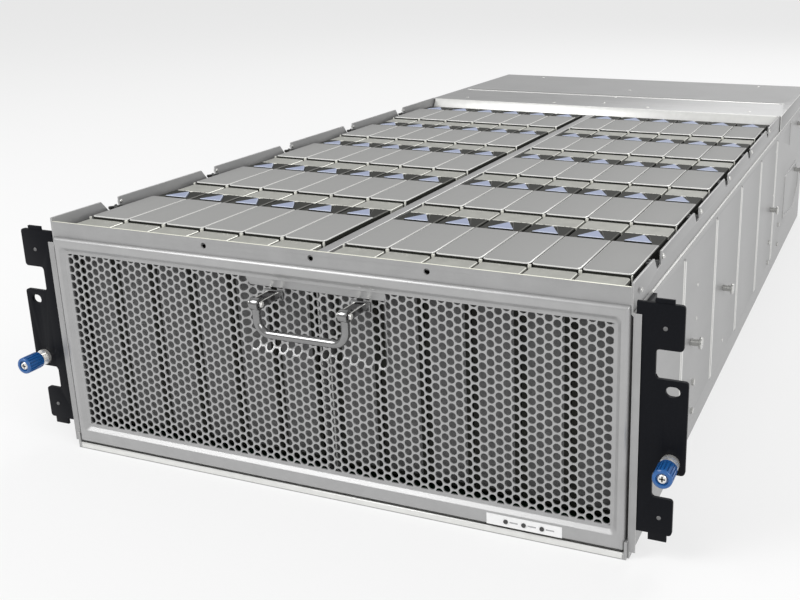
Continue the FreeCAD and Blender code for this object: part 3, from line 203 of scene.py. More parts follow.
def link_noise(made, scale, detail, stretch=(1, 1, 1)):
    """Adds a noise texture in object space to a material and returns its node."""
    nodes, links = made.node_tree.nodes, made.node_tree.links
    place = nodes.new("ShaderNodeTexCoord")
    mapping = nodes.new("ShaderNodeMapping")
    noise = nodes.new("ShaderNodeTexNoise")
    set_inputs(mapping, Scale=stretch)
    set_inputs(noise, Scale=scale, Detail=detail)
    links.new(place.outputs["Object"], mapping.inputs["Vector"])
    links.new(mapping.outputs["Vector"], noise.inputs["Vector"])
    return noise


def material(name, slot, color, metallic, roughness, grain=0.0, grain_scale=400, stretch=(1, 1, 1),
             bump=0.0, specular=0.5, coat=0.0):
    """A procedural finish: noise breaks up its colour and its gloss, and a finer noise gives it a bump."""
    made = bpy.data.materials.new(name)
    made.use_nodes = True
    nodes, links = made.node_tree.nodes, made.node_tree.links
    shader = nodes["Principled BSDF"]
    set_inputs(shader, Metallic=metallic, Specular_IOR_Level=specular, Coat_Weight=coat)
    noise = link_noise(made, grain_scale, 6, stretch)
    set_inputs(noise, Roughness=0.6)
    ramp = nodes.new("ShaderNodeValToRGB")
    for step, position, share in ((0, 0.3, 1 - grain), (1, 0.7, 1 + grain)):
        tone = ramp.color_ramp.elements[step]
        tone.position = position
        tone.color = (*[min(1.0, max(0.0, part * share)) for part in color], 1)
    links.new(noise.outputs["Fac"], ramp.inputs["Fac"])
    links.new(ramp.outputs["Color"], shader.inputs["Base Color"])
    gloss = nodes.new("ShaderNodeMapRange")
    set_inputs(gloss, To_Min=max(0.02, roughness - 0.08), To_Max=min(1.0, roughness + 0.08))
    links.new(noise.outputs["Fac"], gloss.inputs["Value"])
    links.new(gloss.outputs["Result"], shader.inputs["Roughness"])
    if bump:
        fine = link_noise(made, 900, 3)
        bumps = nodes.new("ShaderNodeBump")
        set_inputs(bumps, Strength=bump, Distance=0.0003)
        links.new(fine.outputs["Fac"], bumps.inputs["Height"])
        links.new(bumps.outputs["Normal"], shader.inputs["Normal"])
    MATERIALS[name] = made
    SLOTS[name] = slot

# %% [markdown]
# ### The chassis' steels
# The walls, the bezel and the cover are different sheets, so each has its own grey and grain. A rolled edge
# catches the light along its whole length, but its real radius is too small to show, so a paler finish
# paints that highlight on.

# %% Steel finishes
material("plated_steel", "chassis_steel", (0.36, 0.36, 0.36), 0.55, 0.42, grain=0.06, grain_scale=60,
         stretch=(1, 0.15, 1), bump=0.06)
material("bezel_steel", "bezel_steel", (0.40, 0.40, 0.40), 0.55, 0.38, grain=0.05, grain_scale=80, bump=0.05)
material("bright_steel", "handle_steel", (0.27, 0.27, 0.27), 1.0, 0.17, grain=0.06, grain_scale=300)
# Pale steel: a painted highlight on folds, rolled edges, beads and lips.
material("steel_highlight", "chassis_steel", (0.74, 0.74, 0.72), 0.4, 0.35, grain=0.04, grain_scale=150)
material("cover_steel", "chassis_steel", (0.33, 0.33, 0.33), 0.5, 0.42, grain=0.08, grain_scale=90,
         stretch=(0.3, 1, 1), bump=0.06)
material("ledge_cream", "chassis_steel", (0.34, 0.34, 0.31), 0.3, 0.4, grain=0.1, grain_scale=60, bump=0.08)
# Pale cream: a painted highlight on the beam's top edge.
material("cream_highlight", "chassis_steel", (0.80, 0.80, 0.68), 0.1, 0.35, grain=0.03, grain_scale=200)
material("ferrule", "ferrule_steel", (0.78, 0.77, 0.74), 0.7, 0.25, grain=0.03, grain_scale=300)
material("stud_steel", "stud_steel", (0.60, 0.60, 0.58), 0.9, 0.28, grain=0.04, grain_scale=300)
material("module_steel", "module_steel", (0.38, 0.38, 0.37), 0.6, 0.4, grain=0.06, grain_scale=120, bump=0.06)

# %% [markdown]
# ### Plastics, paint and the drives
# The lids are matt grey plastic, the decks near-black and the release triangles lilac. Paint as dark as the
# ears' shows mostly its reflections, so its gloss is kept low. The knobs have a thin clear skin.

# %% Other finishes
material("cap_grey", "cap_grey", (0.275, 0.275, 0.27), 0.0, 0.6, grain=0.03, grain_scale=700, bump=0.08,
         specular=0.3)
# Pale grey: a painted highlight on the lids' rims.
material("cap_highlight", "cap_grey", (0.72, 0.72, 0.70), 0.3, 0.3, grain=0.03, grain_scale=700)
material("tongue_cream", "carrier_dark", (0.33, 0.33, 0.30), 0.2, 0.42, grain=0.1, grain_scale=120, bump=0.1)
# Near-white cream: a painted highlight on the tongues' edges and posts.
material("tongue_highlight", "carrier_dark", (0.80, 0.80, 0.74), 0.2, 0.3, grain=0.03, grain_scale=500)
# A lighter near-black: a painted highlight on the deck facets' top edges.
material("deck_highlight", "carrier_dark", (0.06, 0.06, 0.05), 0.0, 0.45, grain=0.1, grain_scale=500)
# Paler lilac: a painted highlight on the triangles' top edges.
material("latch_highlight", "latch_blue", (0.55, 0.60, 0.72), 0.0, 0.35, grain=0.03, grain_scale=400)
material("drive_face", "drive_case", (0.14, 0.14, 0.14), 0.3, 0.5, grain=0.12, grain_scale=200, bump=0.1)
material("carrier_dark", "carrier_dark", (0.013, 0.0135, 0.010), 0.0, 0.6, grain=0.25, grain_scale=500,
         bump=0.15, specular=0.25)
material("latch_blue", "latch_blue", (0.27, 0.31, 0.44), 0.0, 0.5, grain=0.05, grain_scale=400, bump=0.05)
material("ear_black", "ear_black", (0.0045, 0.005, 0.007), 0.0, 0.5, grain=0.2, grain_scale=700, bump=0.15,
         specular=0.1)
material("knob_blue", "knob_blue", (0.012, 0.095, 0.30), 0.0, 0.3, grain=0.1, grain_scale=500, coat=0.3)
material("strip_white", "strip_white", (0.82, 0.82, 0.82), 0.0, 0.45, grain=0.02, grain_scale=300)
material("mark_grey", "strip_white", (0.35, 0.35, 0.36), 0.0, 0.5, grain=0.2, grain_scale=600)
material("light_dark", "light_black", (0.02, 0.02, 0.02), 0.0, 0.15, grain=0.1, grain_scale=300, coat=0.5)
material("drive_case", "drive_case", (0.45, 0.45, 0.45), 0.7, 0.4, grain=0.06, grain_scale=300, bump=0.1)
material("board_green", "board_green", (0.006, 0.026, 0.012), 0.0, 0.4, grain=0.25, grain_scale=300)
material("plug_black", "plug_black", (0.02, 0.02, 0.02), 0.0, 0.5, grain=0.15, grain_scale=500)
material("rotor_black", "rotor_black", (0.02, 0.02, 0.02), 0.0, 0.45, grain=0.15, grain_scale=400)
material("pull_black", "pull_black", (0.02, 0.02, 0.022), 0.0, 0.4, grain=0.15, grain_scale=400, bump=0.1)
print(len(MATERIALS), "finishes")

# %% [markdown]
# ## Giving a piece its finish and its body
# A piece has to know which body it moves with, its material slot and the CAD nodes it stands for. While it
# is shaped, its faces carry only a number for their finish. Joining merges equal materials, so three
# different placeholders keep the numbers apart until the finishes go on.

# %% Helpers that finish a piece
PLACEHOLDERS = ("plug_black", "stud_steel", "strip_white")


def finish_piece(piece, body, material, *nodes):
    """Gives a piece its material and its body, and says which CAD nodes it stands for."""
    piece.data.materials.clear()
    piece.data.materials.append(MATERIALS[material])
    for face in piece.data.polygons:
        face.material_index = 0
    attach(piece, body)
    if nodes:
        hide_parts(*nodes)
    print(piece.name, "rides", body, "with", len(piece.data.polygons), "faces of", material)


def finish_parts(piece, body, finishes, node=None):
    """Like finish_piece, with one finish for each material number that the faces carry."""
    marked = [face.material_index for face in piece.data.polygons]
    finish_piece(piece, body, finishes[0], *([node] if node else []))
    for extra in finishes[1:]:
        piece.data.materials.append(MATERIALS[extra])
    for face, number in zip(piece.data.polygons, marked):
        face.material_index = min(number, len(finishes) - 1)
    smooth(piece)

# %% [markdown]
# ## Sheet metal
# A fold in sheet steel always has a radius, which catches a line of light. The CAD nodes have sharp edges,
# but their shape is right, so a copy of each gets a small bevel instead of being modelled again. The ears'
# outer lobes have round corners.

# %% Helpers that dress a CAD node
EAR_ROOT = 214.5 * MM
EAR_CORNER = 2.2 * MM


def pick_corners(piece):
    """In edit mode, selects the corner edges of an ear's outer lobes, which run through its thickness."""
    bpy.ops.mesh.select_all(action="DESELECT")
    bpy.ops.mesh.select_mode(type="EDGE")
    shape = bmesh.from_edit_mesh(piece.data)
    for edge in shape.edges:
        one, two = [corner.co for corner in edge.verts]
        through = 2 * MM < abs(one.y - two.y) < 4 * MM and abs(one.x) > EAR_ROOT
        if through and len(edge.link_faces) == 2 and edge.calc_face_angle() > math.radians(60):
            edge.select_set(True)
    bmesh.update_edit_mesh(piece.data)


def dress(node, name, body, finish, bevel=0.4 * MM, corner=0, edge=None):
    """A copy of a CAD node with softened edges, and rounded corners if asked, which stands for that node; an
    edge finish, if given, paints a highlight on the softened edges.
    """
    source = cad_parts[node]
    piece = source.copy()
    piece.data = source.data.copy()
    piece.parent = None
    piece.matrix_world = Matrix.Identity(4)
    bpy.context.scene.collection.objects.link(piece)
    piece.data.materials.clear()
    for placeholder in PLACEHOLDERS:
        piece.data.materials.append(MATERIALS[placeholder])
    for face in piece.data.polygons:
        face.material_index = 0
    only(piece)
    mode("EDIT")
    bpy.ops.mesh.select_all(action="SELECT")
    bpy.ops.mesh.remove_doubles(threshold=0.01 * MM)
    bpy.ops.mesh.dissolve_limited(angle_limit=math.radians(0.5))
    if corner:
        pick_corners(piece)
        bpy.ops.mesh.bevel(offset=corner, segments=4)
    mode("OBJECT")
    soften(piece, bevel, 2, 25, use_clamp_overlap=True, material=1)
    finish_parts(settle(piece, name), body, [finish, edge or finish], node)

# %% [markdown]
# The pan, the walls and the cover get a pale finish on their softened edges, a painted highlight along each
# fold. The other pieces keep one finish.

# %% Sheet metal with soft edges
for node in ("base_pan", "left_side_wall", "right_side_wall", "centre_divider"):
    dress(node, "sheet_" + node, "chassis", "plated_steel", edge="steel_highlight")
dress("rear_top_cover", "sheet_rear_cover", "chassis", "cover_steel", edge="steel_highlight")
for side in ("left", "right"):
    dress(side + "_rack_ear", side + "_ear", "chassis", "ear_black", bevel=0.5 * MM, corner=EAR_CORNER)
    dress("power_supply_" + side, side + "_power_supply", "power_supply_" + side, "module_steel",
          bevel=0.3 * MM)
dress("rail_studs", "studs", "chassis", "stud_steel", bevel=0.3 * MM)
dress("front_handle", "bail", "front_handle", "bright_steel", bevel=0.2 * MM)

# %% [markdown]
# ## The bezel's frame
# The bezel is one drawn sheet: a border with rolled edges around a shallow recess with sloping walls. A box
# makes it in the order a press would: roll the edges with a bevel, inset the border and the slope, then
# give the skin its thickness.

# %% The bezel's frame
ROLL = 2.6 * MM
BORDER, SLOPE, MARGIN = 4.5 * MM, 3 * MM, 2.1 * MM
BORDER_RISE, BORDER_DROP = 5 * MM, 2 * MM
BEZEL_SHEET = 1.1 * MM
floor_level = front + SLOPE
bpy.ops.mesh.primitive_cube_add(size=1, location=(bezel_low + bezel_high) / 2, scale=bezel_high - bezel_low)
bezel = settle(bpy.context.object, "bezel_frame")
mode("EDIT")
pick(bezel, "FACE", lambda place, normal: normal.y > 0.9)
bpy.ops.mesh.delete(type="FACE")
pick(bezel, "EDGE", lambda one, two: max(one.y, two.y) < front + MM)
bpy.ops.mesh.bevel(offset=ROLL, segments=4)
pick(bezel, "FACE", lambda place, normal: normal.y < -0.99)
bpy.ops.mesh.inset(thickness=BORDER - ROLL)


def inside_border(place):
    """Whether a vertex is a corner of the recess, not of the rolled edge."""
    return place.y < front + 0.1 * MM and abs(place.x) < bezel_high.x - 4 * MM


pick(bezel, "VERT", lambda place: inside_border(place) and place.z < bezel_low.z + 6 * MM)
bpy.ops.transform.translate(value=(0, 0, BORDER_RISE))
pick(bezel, "VERT", lambda place: inside_border(place) and place.z > bezel_high.z - 6 * MM)
bpy.ops.transform.translate(value=(0, 0, -BORDER_DROP))
pick(bezel, "FACE", lambda place, normal: normal.y < -0.99 and abs(place.x) < 1 * MM
     and abs(place.z - bezel_low.z) > 40 * MM and abs(place.z - bezel_high.z) > 40 * MM)
bpy.ops.mesh.inset(thickness=SLOPE, depth=-SLOPE)
print("recess", floor_level - front, "deep")

# %% [markdown]
# A press can't draw a sharp corner, so the four edges that run down the recess' slopes are rounded. The
# recess' floor is then removed, since the perforated field takes its place.

# %% The recess' corners and the sheet's thickness
pick(bezel, "EDGE", lambda one, two: abs(one.y - two.y) > 2.5 * MM and max(one.y, two.y) < front + 4 * MM
     and abs(abs(one.x) - abs(two.x)) > 2.5 * MM and abs(one.z - two.z) > 2.5 * MM)
bpy.ops.mesh.bevel(offset=3 * MM, segments=4)
pick(bezel, "FACE", lambda place, normal: normal.y < -0.99 and place.y > front + 2.5 * MM)
bpy.ops.mesh.inset(thickness=MARGIN)
bpy.ops.mesh.delete(type="FACE")
mode("OBJECT")
soften(bezel, 1.1 * MM, 3, 30)
apply_modifier(bezel, "SOLIDIFY", thickness=BEZEL_SHEET, offset=-1)
smooth(bezel, 40)
print("frame faces", len(bezel.data.polygons))

# %% [markdown]
# ## The perforated field
# The field has some 1,800 holes in a honeycomb. A boolean cut for each would be slow and leave poor faces.
# Two six-sided rings, half a step apart, are repeated by array modifiers instead, and merge into one sheet.

# %% The honeycomb
PITCH, HOLE = 6.1 * MM, 5.0 * MM
SIDE = PITCH / math.sqrt(3)
FIELD_X = bezel_high.x - BORDER - SLOPE - MARGIN
FIELD_LOW = bezel_low.z + BORDER + BORDER_RISE + SLOPE + MARGIN
FIELD_HIGH = bezel_high.z - BORDER - BORDER_DROP - SLOPE - MARGIN
columns = math.ceil(FIELD_X * 2 / (SIDE * 3)) + 1
rows = math.ceil((FIELD_HIGH - FIELD_LOW) / PITCH) + 1
cells = []
for shift_x, shift_z in ((0, 0), (SIDE * 1.5, PITCH / 2)):
    centre = Vector((-FIELD_X - SIDE + shift_x, floor_level, FIELD_LOW + shift_z))
    bpy.ops.mesh.primitive_circle_add(vertices=6, radius=SIDE, fill_type="NGON", location=centre,
                                      rotation=(math.radians(90), math.radians(30), 0))
    cell = settle(bpy.context.object, "cell")
    mode("EDIT")
    bpy.ops.mesh.select_all(action="SELECT")
    bpy.ops.mesh.inset(thickness=(PITCH - HOLE) / 2)
    bpy.ops.mesh.delete(type="FACE")
    pick(cell, "VERT", lambda place: (place - centre).length < SIDE * 0.9)
    bpy.ops.mesh.bevel(affect="VERTICES", offset=0.8 * MM, segments=1)
    mode("OBJECT")
    cells.append(cell)
grille = join(cells, "bezel_grille")
for count, step in ((columns, (SIDE * 3, 0, 0)), (rows, (0, 0, PITCH))):
    apply_modifier(grille, "ARRAY", count=count, use_relative_offset=False, use_constant_offset=True,
                   constant_offset_displace=step, use_merge_vertices=True, merge_threshold=0.02 * MM)
print("cells", columns * rows * 2)

# %% [markdown]
# Behind the bail the sheet is pressed deeper, so that fingers fit. Proportional editing moves the middle of
# that patch straight back and lets its rim slope, which stretches the holes there, as a press would.

# %% The trimmed field and its grip hollow
GRIP_HALF, GRIP_LOW, GRIP_DEPTH, GRIP_SLOPE = 49 * MM, 104.5 * MM, 4 * MM, 6 * MM
only(grille)
mode("EDIT")
for side in (-1, 1):
    cut((side * FIELD_X, 0, 0), (side, 0, 0), clear_outer=True)
for level, way in ((FIELD_LOW, -1), (FIELD_HIGH, 1)):
    cut((0, 0, level), (0, 0, way), clear_outer=True)
pick(grille, "VERT", lambda place: abs(place.x) < GRIP_HALF and place.z > GRIP_LOW)
bpy.ops.transform.translate(value=(0, GRIP_DEPTH, 0), use_proportional_edit=True,
                            proportional_edit_falloff="LINEAR", proportional_size=GRIP_SLOPE)
mode("OBJECT")
apply_modifier(grille, "SOLIDIFY", thickness=0.9 * MM, offset=-1)
finish_piece(bezel, "chassis", "bezel_steel", "front_bezel")
finish_piece(grille, "chassis", "bezel_steel", "front_bezel")

# %% [markdown]
# ## The drives
# Sixty drives stand in five rows of twelve. From above, each shows four things: a tongue of pale sheet, the
# grey lid of its carrier, a dark deck with raised facets, and the lilac triangle that releases it. Each is
# modelled once, at the drive that lifts by itself, and copied.

# %% Where the drives stand
lid_low, lid_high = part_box("carrier_handle")
carrier_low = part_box("drive_carrier")[0]
latch_low, latch_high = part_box("carrier_latch")
drive_middle = (lid_low.x + lid_high.x) / 2
ROWS, DRIVES_PER_BANK = 5, 6
DRIVE_PITCH = 32.25 * MM
SLOT = 1.9 * MM
CARRIER_FRONT = 9.3
TONGUE_TOP = lid_high.z - 1.7 * MM
BODY_TOP = lid_low.z - 0.9 * MM
DECK_LEVEL = lid_high.z - 2.2 * MM


def drive_shifts(row):
    """How far each drive of a row lies from the single drive, which row 1 leaves out."""
    shifts = []
    for bank in (1, -1):
        for step in range(DRIVES_PER_BANK):
            if row == 1 and bank == 1 and step == 0:
                continue
            middle = bank * (drive_middle - DRIVE_PITCH * step)
            shifts.append(Vector((middle - drive_middle, row_pitch * (row - 1), 0)))
    return shifts


print(sum(len(drive_shifts(row)) for row in range(1, ROWS + 1)), "drives besides the single one")

# %% [markdown]
# Each drive's lid, carrier and latch move apart from each other, so each kind is joined by rows and rides
# its row's body. The single drive's own piece rides its own body.

# %% Helper that copies one drive's piece to every drive
BODIES = {"handle": ("handles_row_%d", "carrier_handle"), "carrier": ("carriers_row_%d", "drive_carrier"),
          "latch": ("latches_row_%d", "carrier_latch")}


def copy_at(obj, shift):
    """A copy of a piece with its own mesh, moved by a shift."""
    twin = obj.copy()
    twin.data = obj.data.copy()
    bpy.context.scene.collection.objects.link(twin)
    twin.data.transform(Matrix.Translation(shift))
    return twin


def spread(piece, name, part, finishes, replaced=True, first=None):
    """Copies one drive's piece to every drive, row by row; the first row can have a piece of its own."""
    row_body, single_body = BODIES[part]
    for row in range(1, ROWS + 1):
        source = first if first and row == 1 else piece
        made = join([copy_at(source, shift) for shift in drive_shifts(row)], "%s_row_%d" % (name, row))
        finish_parts(made, row_body % row, finishes, row_body % row if replaced else None)
    if first:
        bpy.data.objects.remove(piece)
        piece = first
    settle(piece, name + "_single")
    finish_parts(piece, single_body, finishes, single_body if replaced else None)

# %% [markdown]
# ## Boxes and rods to shape
# Most pieces are folded or moulded from a box or turned from a rod, then some edges are rounded and some
# faces get another finish. A helper gives the picked faces their finish's number.

# %% Helpers that make boxes and rods
def box_piece(low, high):
    """A box between two corners, as a mesh to shape further in edit mode."""
    low, high = Vector(low), Vector(high)
    bpy.ops.mesh.primitive_cube_add(size=1, location=(low + high) / 2, scale=high - low)
    piece = settle(bpy.context.object, "piece")
    for placeholder in PLACEHOLDERS:
        piece.data.materials.append(MATERIALS[placeholder])
    mode("EDIT")
    return piece


def rounded_box(low, high, radius, segments, test=None):
    """A box with its edges rounded, or only those edges that pass a test."""
    piece = box_piece(low, high)
    if test:
        pick(piece, "EDGE", test)
    else:
        bpy.ops.mesh.select_all(action="SELECT")
    bpy.ops.mesh.bevel(offset=radius, segments=segments)
    mode("OBJECT")
    return piece


def rod(name, radius, x, z, near, far, vertices=24):
    """A round rod along the shelf's length, between two depths."""
    bpy.ops.mesh.primitive_cylinder_add(vertices=vertices, radius=radius, depth=far - near,
                                        location=(x, (near + far) / 2, z), rotation=(math.radians(90), 0, 0))
    return settle(bpy.context.object, name)


def mark(piece, number, test):
    """In edit mode, gives the faces that pass a test this finish's number."""
    pick(piece, "FACE", test)
    piece.active_material_index = number
    bpy.ops.object.material_slot_assign()

# %% [markdown]
# ## The lids
# A lid is a plastic handle that lies flat on its carrier. Its front corners are round. Its rim's bevel
# carries a pale finish as a painted highlight, and its sides carry a near-black one as painted shade.

# %% The lid of a carrier
lid = box_piece(lid_low, lid_high)
# The sides take the deck's near-black as painted shade, and the rim's bevel takes a pale finish as a painted
# highlight.
mark(lid, 2, lambda place, normal: normal.z < 0.5)
pick(lid, "EDGE", lambda one, two: abs(one.z - two.z) > 2 * MM and one.y < lid_low.y + 1 * MM)
bpy.ops.mesh.bevel(offset=3 * MM, segments=4)
pick(lid, "EDGE", lambda one, two: min(one.z, two.z) > lid_high.z - 0.1 * MM)
bpy.ops.mesh.bevel(offset=0.7 * MM, segments=2, material=1)
mode("OBJECT")
spread(lid, "lids", "handle", ["cap_grey", "cap_highlight", "carrier_dark"])

# %% [markdown]
# ## The tongues
# In front of each lid the carrier ends in a tongue of pale sheet, with two small posts beside the lid's
# round corners. Row 1's tongues are plain and end at the beam's ledge. The others have four teeth, extruded
# from their front face, that reach under the deck in front. The tongue's softened edges and the posts take
# a paler finish as a painted highlight.

# %% The tongue in front of a lid
TEETH = ((-9.5, -7), (-3.5, -1.5), (6, 8), (10, 12))
tongue_back = lid_low.y - 1.8 * MM
side_x = DRIVE_PITCH / 2 - SLOT / 2
tongues = []
for tongue_front, teeth in ((15.3, ()), (CARRIER_FRONT, TEETH)):
    tongue = box_piece((drive_middle - side_x, front + tongue_front * MM, BODY_TOP),
                       (drive_middle + side_x, tongue_back, TONGUE_TOP))
    for place in [edge for tooth in teeth for edge in tooth]:
        cut((drive_middle + place * MM, 0, 0), (1, 0, 0))
    for low, high in teeth:
        pick(tongue, "FACE", lambda place, normal: normal.y < -0.9
             and low * MM < place.x - drive_middle < high * MM)
        bpy.ops.mesh.extrude_region_move(TRANSFORM_OT_translate={"value": (0, -1.4 * MM, 0)})
    pick(tongue, "EDGE", lambda one, two: abs(one.z - two.z) > 0.5 * MM and one.y > tongue_back - 1 * MM
         and abs(one.x - drive_middle) > side_x - 1 * MM)
    bpy.ops.mesh.bevel(offset=2.4 * MM, segments=4)
    mode("OBJECT")
    # The softened edges take the paler finish as a painted highlight.
    soften(tongue, 0.4 * MM, 1, 60, material=1)
    posts = []
    for side in (-1, 1):
        inner, outer = side * (DRIVE_PITCH / 2 - 0.95 * MM), side * (DRIVE_PITCH / 2 - 0.1 * MM)
        post = box_piece((drive_middle + min(inner, outer), tongue_back - 0.2 * MM, BODY_TOP),
                         (drive_middle + max(inner, outer), lid_low.y - 0.3 * MM, lid_high.z - 0.4 * MM))
        # The whole post takes the paler finish as a painted highlight.
        mark(post, 1, lambda place, normal: True)
        mode("OBJECT")
        apply_modifier(post, "BEVEL", width=0.2 * MM, segments=2)
        posts.append(post)
    tongues.append(join([tongue] + posts, "tongue"))
spread(tongues[1], "tongues", "carrier", ["tongue_cream", "tongue_highlight"], replaced=False, first=tongues[0])

# %% [markdown]
# ## The carriers
# A carrier is a dark plastic frame around a steel disk drive. Only its top and front show, but it is seen
# whole when it lifts. Two insets open a window on each side with the drive's steel in it, and two more put
# the drive's face in front.

# %% The carrier's body
CARRIER_HALF, CARRIER_BACK = 15.7 * MM, front + 120.3 * MM
RIM = 1.6 * MM
bodies = []
for body_front in (carrier_low.y, front + 12.45 * MM):
    body = box_piece((drive_middle - CARRIER_HALF, body_front, carrier_low.z),
                     (drive_middle + CARRIER_HALF, CARRIER_BACK, BODY_TOP - RIM))
    pick(body, "FACE", lambda place, normal: abs(normal.x) > 0.9)
    bpy.ops.mesh.inset(thickness=7 * MM, use_individual=True)
    bpy.ops.mesh.inset(thickness=1 * MM, depth=-1.5 * MM, use_individual=True)
    mark(body, 1, lambda place, normal: abs(normal.x) > 0.9 and abs(place.x - drive_middle) < 15 * MM)
    pick(body, "FACE", lambda place, normal: normal.y < -0.9)
    bpy.ops.mesh.inset(thickness=3.4 * MM)
    bpy.ops.mesh.inset(thickness=0.4 * MM, depth=0.25 * MM)
    mark(body, 2, lambda place, normal: normal.y < -0.9 and place.y < body_front)
    pick(body, "FACE", lambda place, normal: normal.z > 0.9)
    bpy.ops.mesh.extrude_region_move(TRANSFORM_OT_translate={"value": (0, 0, RIM)})
    mode("OBJECT")
    bodies.append(body)
spread(bodies[1], "carrier_frames", "carrier", ["carrier_dark", "drive_case", "drive_face"], first=bodies[0])

# %% [markdown]
# ## The decks and their triangles
# Behind the lid the carrier has a dark deck with two raised facets. Each facet is a box with its inner
# front edge moved aside, so that the triangle fits between them.

# %% The deck behind a lid
FACET_OUTER, FACET_INNER = 14.9 * MM, 1.6 * MM
deck_front, deck_back = lid_high.y + 1.2 * MM, front + (CARRIER_FRONT + 113.6) * MM
deck = box_piece((drive_middle - 15.2 * MM, deck_front, BODY_TOP - 0.5 * MM),
                 (drive_middle + 15.2 * MM, deck_back, DECK_LEVEL))
mode("OBJECT")
deck_parts = [deck]
for side in (-1, 1):
    ends = [drive_middle + side * FACET_OUTER, drive_middle + side * FACET_INNER]
    facet = box_piece((min(ends), deck_front + 0.6 * MM, DECK_LEVEL - 0.2 * MM),
                      (max(ends), deck_back - 0.8 * MM, DECK_LEVEL + 1.1 * MM))
    pick(facet, "VERT", lambda place: place.y < deck_front + 1 * MM and abs(place.x - drive_middle) < 3 * MM)
    bpy.ops.transform.translate(value=(side * 9.4 * MM, 0, 0))
    # The facets' top edges take a slightly paler finish as a painted highlight.
    pick(facet, "EDGE", lambda one, two: min(one.z, two.z) > DECK_LEVEL + 0.9 * MM)
    bpy.ops.mesh.bevel(offset=0.6 * MM, segments=1, material=1)
    mode("OBJECT")
    deck_parts.append(facet)
spread(join(deck_parts, "deck"), "decks", "carrier", ["carrier_dark", "deck_highlight"], replaced=False)

# %% [markdown]
# The triangle is a button that releases the lid. It is a box whose rear edge is squeezed almost to a point,
# which keeps its base straight and its two sides even.

# %% The release triangle
button = box_piece((latch_low.x, latch_low.y, DECK_LEVEL),
                   (latch_high.x, latch_high.y, latch_high.z - 0.6 * MM))
mark(button, 2, lambda place, normal: normal.y < -0.5)
pick(button, "VERT", lambda place: place.y > latch_high.y - 1 * MM)
bpy.ops.transform.resize(value=(0.04, 1, 1), center_override=(drive_middle, latch_high.y, latch_high.z))
# The top edges take a paler blue as a painted highlight.
pick(button, "EDGE", lambda one, two: min(one.z, two.z) > latch_high.z - 0.7 * MM)
bpy.ops.mesh.bevel(offset=0.4 * MM, segments=1, material=1)
mode("OBJECT")
spread(button, "buttons", "latch", ["latch_blue", "latch_highlight", "carrier_dark"])

# %% [markdown]
# ## The beam above the bezel
# A folded sheet crosses the front above the bezel, with a ledge behind it and three screw holes. Two level
# cuts mark the ledge on a thin box, and the strip between them is extruded back. The round holes are the
# one place where a boolean is the plain choice.

# %% The folded beam
beam_low, beam_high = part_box("front_top_beam")
BEAM_TOP = beam_high.z - 2.6 * MM
LEDGE_TOP = TONGUE_TOP + 0.3 * MM
LEDGE_LOW = LEDGE_TOP - 1.2 * MM
BEAM_SHEET = 1.5 * MM
beam = box_piece((beam_low.x, beam_low.y, beam_low.z), (beam_high.x, beam_low.y + BEAM_SHEET, BEAM_TOP))
for level in (LEDGE_LOW, LEDGE_TOP):
    cut((0, 0, level), (0, 0, 1))
pick(beam, "FACE", lambda place, normal: normal.y > 0.9 and LEDGE_LOW < place.z < LEDGE_TOP)
ledge_reach = beam_high.y - beam_low.y - BEAM_SHEET
bpy.ops.mesh.extrude_region_move(TRANSFORM_OT_translate={"value": (0, ledge_reach, 0)})
mark(beam, 1, lambda place, normal: normal.z > 0.9 and place.y > beam_low.y + 2 * MM)
# The top above the ledge takes a pale cream as a painted highlight along the fold.
mark(beam, 2, lambda place, normal: normal.z > 0.9 and place.z > LEDGE_TOP + 1 * MM)
mode("OBJECT")
drill = join([rod("drill", 2 * MM, column * 80.8 * MM, beam_low.z + 6 * MM, beam_low.y - 3 * MM,
                  beam_low.y + 3 * MM, vertices=20) for column in (-1, 0, 1)], "drill")
apply_modifier(beam, "BOOLEAN", object=drill, operation="DIFFERENCE", solver="EXACT")
bpy.data.objects.remove(drill)
soften(beam, 0.5 * MM, 2, 50)
settle(beam, "front_beam")
finish_parts(beam, "chassis", ["plated_steel", "ledge_cream", "cream_highlight"], "front_top_beam")

# %% [markdown]
# ## The pan's lip
# The pan's front edge is rolled into a round strip below the bezel, and its pale finish is a painted
# highlight. A box with round front edges lies just over the CAD pan's square lip.

# %% The pan's rolled front lip
LIP_HALF = 206.6 * MM
pan_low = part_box("base_pan")[0]
roll = rounded_box((-LIP_HALF, pan_low.y - 0.3 * MM, 0.2 * MM), (LIP_HALF, pan_low.y + 2.5 * MM, 4.5 * MM),
                   1.3 * MM, 4, lambda one, two: max(one.y, two.y) < pan_low.y)
smooth(roll, 50)
finish_piece(settle(roll, "pan_lip"), "chassis", "steel_highlight")

# %% [markdown]
# ## Thumbscrews
# The blue knobs are fluted for the fingers. A 36-sided cylinder is enough: every second one of its sides is
# inset and sunk. The recess in its face holds a cross-slotted steel screw.

# %% Knobs
KNOB_RADIUS, KNOB_LENGTH = 6 * MM, 14 * MM


